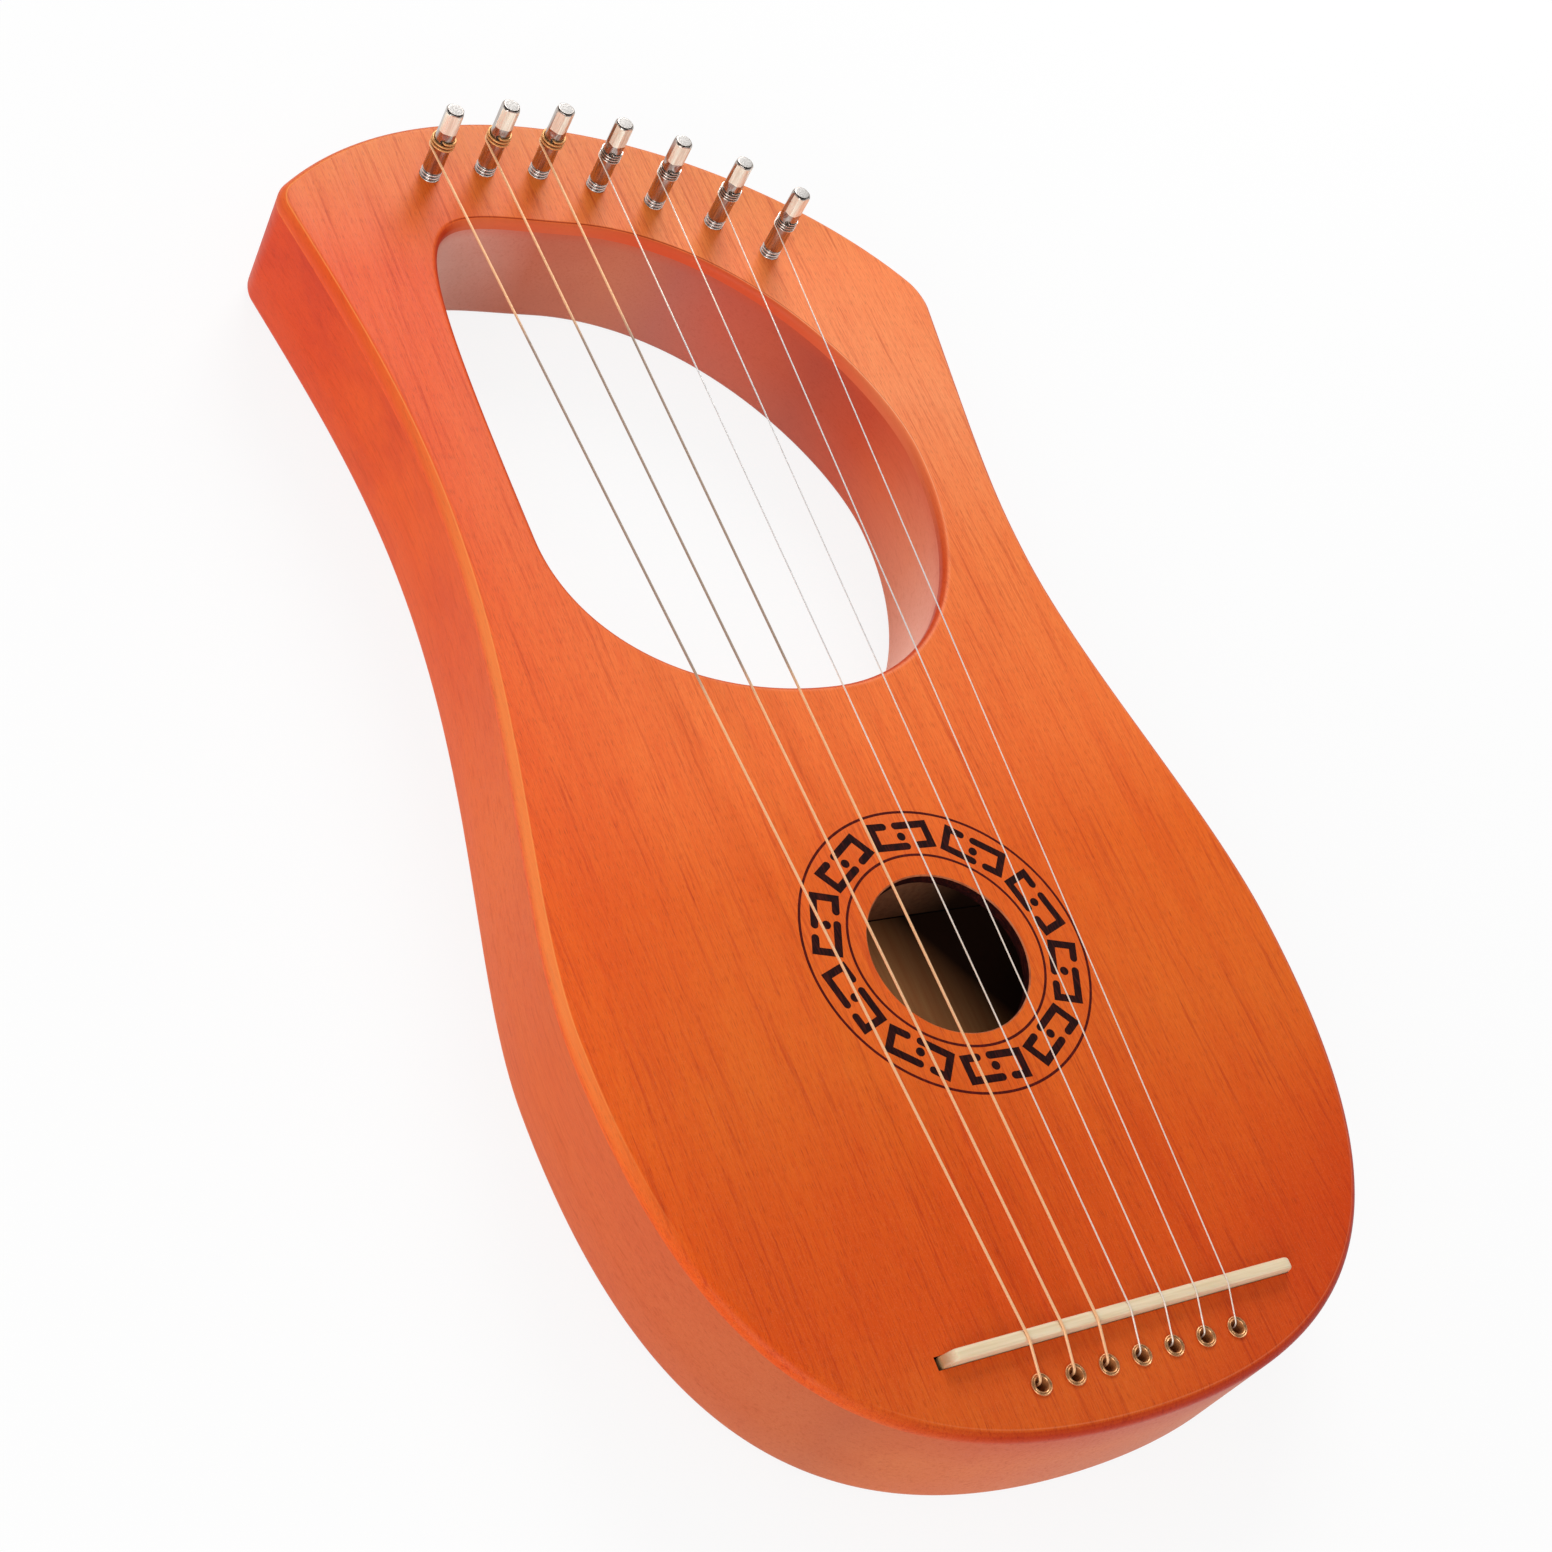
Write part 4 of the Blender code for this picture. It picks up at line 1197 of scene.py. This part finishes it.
def windingPoints(number):
    reach, bend = windingReach(number), 0.8 * mm
    turns = strings["turns"][number]
    last = turns * 2 * math.pi - math.asin(bend / (reach - bend))
    climb = strings["turnSpacing"][number] * mm / (2 * math.pi)
    count = int(turns * 40)
    points = []
    for step in range(count + 1):
        turn = last * step / count
        height = min(windingStart(number) + climb * turn, pin["holeHeight"])
        points.append(Vector((reach * math.cos(turn), -reach * math.sin(turn), height)))
    entry = stringEntry(number)
    inward = Vector((-math.cos(entry), -math.sin(entry), 0))
    onward = Vector((math.sin(entry), -math.cos(entry), 0))
    hub = -inward * (reach - bend) - onward * bend
    for step in range(1, 9):
        turn = math.pi / 2 * step / 8
        spot = hub - inward * bend * math.cos(turn) + onward * bend * math.sin(turn)
        points.append(spot + Vector((0, 0, pin["holeHeight"])))
    points.append(-inward * 0.8 * mm + Vector((0, 0, pin["holeHeight"])))
    return points


def bendPoints(hub, radius, first, last, count):
    turns = [first + (last - first) * step / count for step in range(count + 1)]
    return [hub + Vector((math.cos(turn), math.sin(turn))) * radius for turn in turns]


def stringPoints(number):
    radius = stringRadius(number)
    start, post, along, run = stringLine(number)
    entry, bend = strings["boreEntry"], strings["rimBend"]
    rim = front + 0.55 * mm + radius
    top = front + saddle["height"] - saddle["notch"] + radius
    saddleRun = (saddleY() - start.y) / along.y
    hub = Vector((entry + bend, rim - bend))
    crown = Vector((saddleRun, top - strings["saddleBend"]))
    between = crown - hub
    rise = math.atan2(between.y, between.x) + math.asin((strings["saddleBend"] - bend) / between.length)
    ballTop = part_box(f"ball_end_{number + 1}")[1][2] - 0.6 * mm
    profile = [Vector((entry, ballTop))]
    profile += bendPoints(hub, bend, math.pi, math.pi / 2 + rise, 10)
    topHeight = front + stringTop(number)
    lift = math.atan2(topHeight - top, run - saddleRun)
    profile += bendPoints(crown, strings["saddleBend"], math.pi / 2 + rise, math.pi / 2 + lift, 8)
    for step in range(1, 12):  # the long free stretch
        profile.append(Vector((saddleRun + (run - saddleRun) * step / 12, top + (topHeight - top) * step / 12)))
    points = []
    for place in profile:
        spot = start + along * place.x + frameShift
        points.append(Vector((spot.x, spot.y, place.y)))
    touch = start + along * run - post
    first = math.atan2(touch.y, touch.x)
    sweep = first % (2 * math.pi)
    for step in range(25):
        turn = first - sweep * step / 24
        spot = post + frameShift + Vector((math.cos(turn), math.sin(turn))) * windingReach(number)
        points.append(Vector((spot.x, spot.y, topHeight)))
    return points


makeSaddle()
for number in range(stringCount):
    makePin(number)
    wound = number < 3
    centre = pinCentre(number) + frameShift
    name = f"stringTurns{number + 1}"
    coil = tubeAlong(name, windingPoints(number), stringRadius(number), 4)
    coil.materials.append(coiledBronze if wound else coiledSteel)
    piece = bpy.data.objects.new(name, coil)
    piece.location = (centre.x, centre.y, front)
    bpy.context.scene.collection.objects.link(piece)
    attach(piece, f"pin_{number + 1}")
    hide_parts(f"string_winding_{number + 1}")
    name = f"string{number + 1}"
    line = tubeAlong(name, stringPoints(number), stringRadius(number), 4)
    addPiece(name, line, bronzeFinish if wound else steelFinish, [f"string_{number + 1}"])
print("pins and strings made")


# Studio: a white floor that keeps a soft shadow, a pale surround with a dim ceiling, and large soft lamps
studio = {
    "floorColour": "#f4f4f4",
    "floorGlow": 0.86,
    "roomLight": 0.54,
    "ceilingGlow": 0.03,
    "cardGlow": 0.1,
    "cardSide": (-0.75, -0.66),
    "keyPlace": (0.50, 1.12, 0.86),
    "keySize": 0.8,
    "keyPower": 12,
    "fillPlace": (-1.0, -0.85, 0.50),
    "fillSize": 1.0,
    "fillPower": 9.5,
}


def makeFloor():
    material, tree = newMaterial("white paper sweep")
    path = addNode(tree, "ShaderNodeLightPath")
    seen = arithmetic(tree, "MAXIMUM", path.outputs["Is Camera Ray"], path.outputs["Is Glossy Ray"])
    seen = arithmetic(tree, "MAXIMUM", seen, path.outputs["Is Transmission Ray"])
    diffuse = addNode(tree, "ShaderNodeBsdfDiffuse", {"Color": linear(studio["floorColour"])})
    glow = addNode(tree, "ShaderNodeEmission", {"Strength": 1.0})
    share = arithmetic(tree, "MULTIPLY", seen, studio["floorGlow"])
    mixed = addNode(tree, "ShaderNodeMixShader", None, {0: share, 1: diffuse.outputs[0], 2: glow.outputs[0]})
    addNode(tree, "ShaderNodeOutputMaterial", links={"Surface": mixed.outputs[0]})
    bm = bmesh.new()
    bmesh.ops.create_grid(bm, x_segments=8, y_segments=8, size=6)
    mesh = bpy.data.meshes.new("floor")
    bm.to_mesh(mesh)
    bm.free()
    mesh.materials.append(material)
    floor = bpy.data.objects.new("floor", mesh)
    floor.location.z = -0.0002
    bpy.context.scene.collection.objects.link(floor)


def makeLamp(name, place, size, power):
    data = bpy.data.lights.new(name, "AREA")
    data.shape = "DISK"
    data.size = size
    data.energy = power
    lamp = bpy.data.objects.new(name, data)
    lamp.location = place
    lamp.rotation_euler = Vector(place).to_track_quat("Z", "Y").to_euler()
    bpy.context.scene.collection.objects.link(lamp)


def makeSurround():
    world = bpy.data.worlds.new("pale studio")
    world.use_nodes = True
    tree = world.node_tree
    tree.nodes.clear()
    path = addNode(tree, "ShaderNodeLightPath")
    direction = addNode(tree, "ShaderNodeTexCoord").outputs["Generated"]
    parts = addNode(tree, "ShaderNodeSeparateXYZ", links={"Vector": direction})
    mirrored = remap(tree, parts.outputs["Z"], 0.2, 0.6, 1.0, studio["ceilingGlow"])
    cardX = arithmetic(tree, "MULTIPLY", parts.outputs["X"], studio["cardSide"][0])
    cardY = arithmetic(tree, "MULTIPLY", parts.outputs["Y"], studio["cardSide"][1])
    towards = arithmetic(tree, "ADD", cardX, cardY)
    card = remap(tree, towards, 0.55, 0.75, 1.0, studio["cardGlow"])
    mirrored = arithmetic(tree, "MULTIPLY", mirrored, card)
    strength = remap(tree, path.outputs["Is Glossy Ray"], 0, 1, studio["roomLight"], mirrored)
    seen = arithmetic(tree, "MAXIMUM", path.outputs["Is Camera Ray"], path.outputs["Is Transmission Ray"])
    strength = remap(tree, seen, 0, 1, strength, 1.0)
    background = addNode(tree, "ShaderNodeBackground", {"Color": (1, 1, 1, 1)}, {"Strength": strength})
    addNode(tree, "ShaderNodeOutputWorld", links={"Surface": background.outputs[0]})
    bpy.context.scene.world = world


makeFloor()
makeLamp("key", studio["keyPlace"], studio["keySize"], studio["keyPower"])
makeLamp("fill", studio["fillPlace"], studio["fillSize"], studio["fillPower"])
makeSurround()
print("studio made")
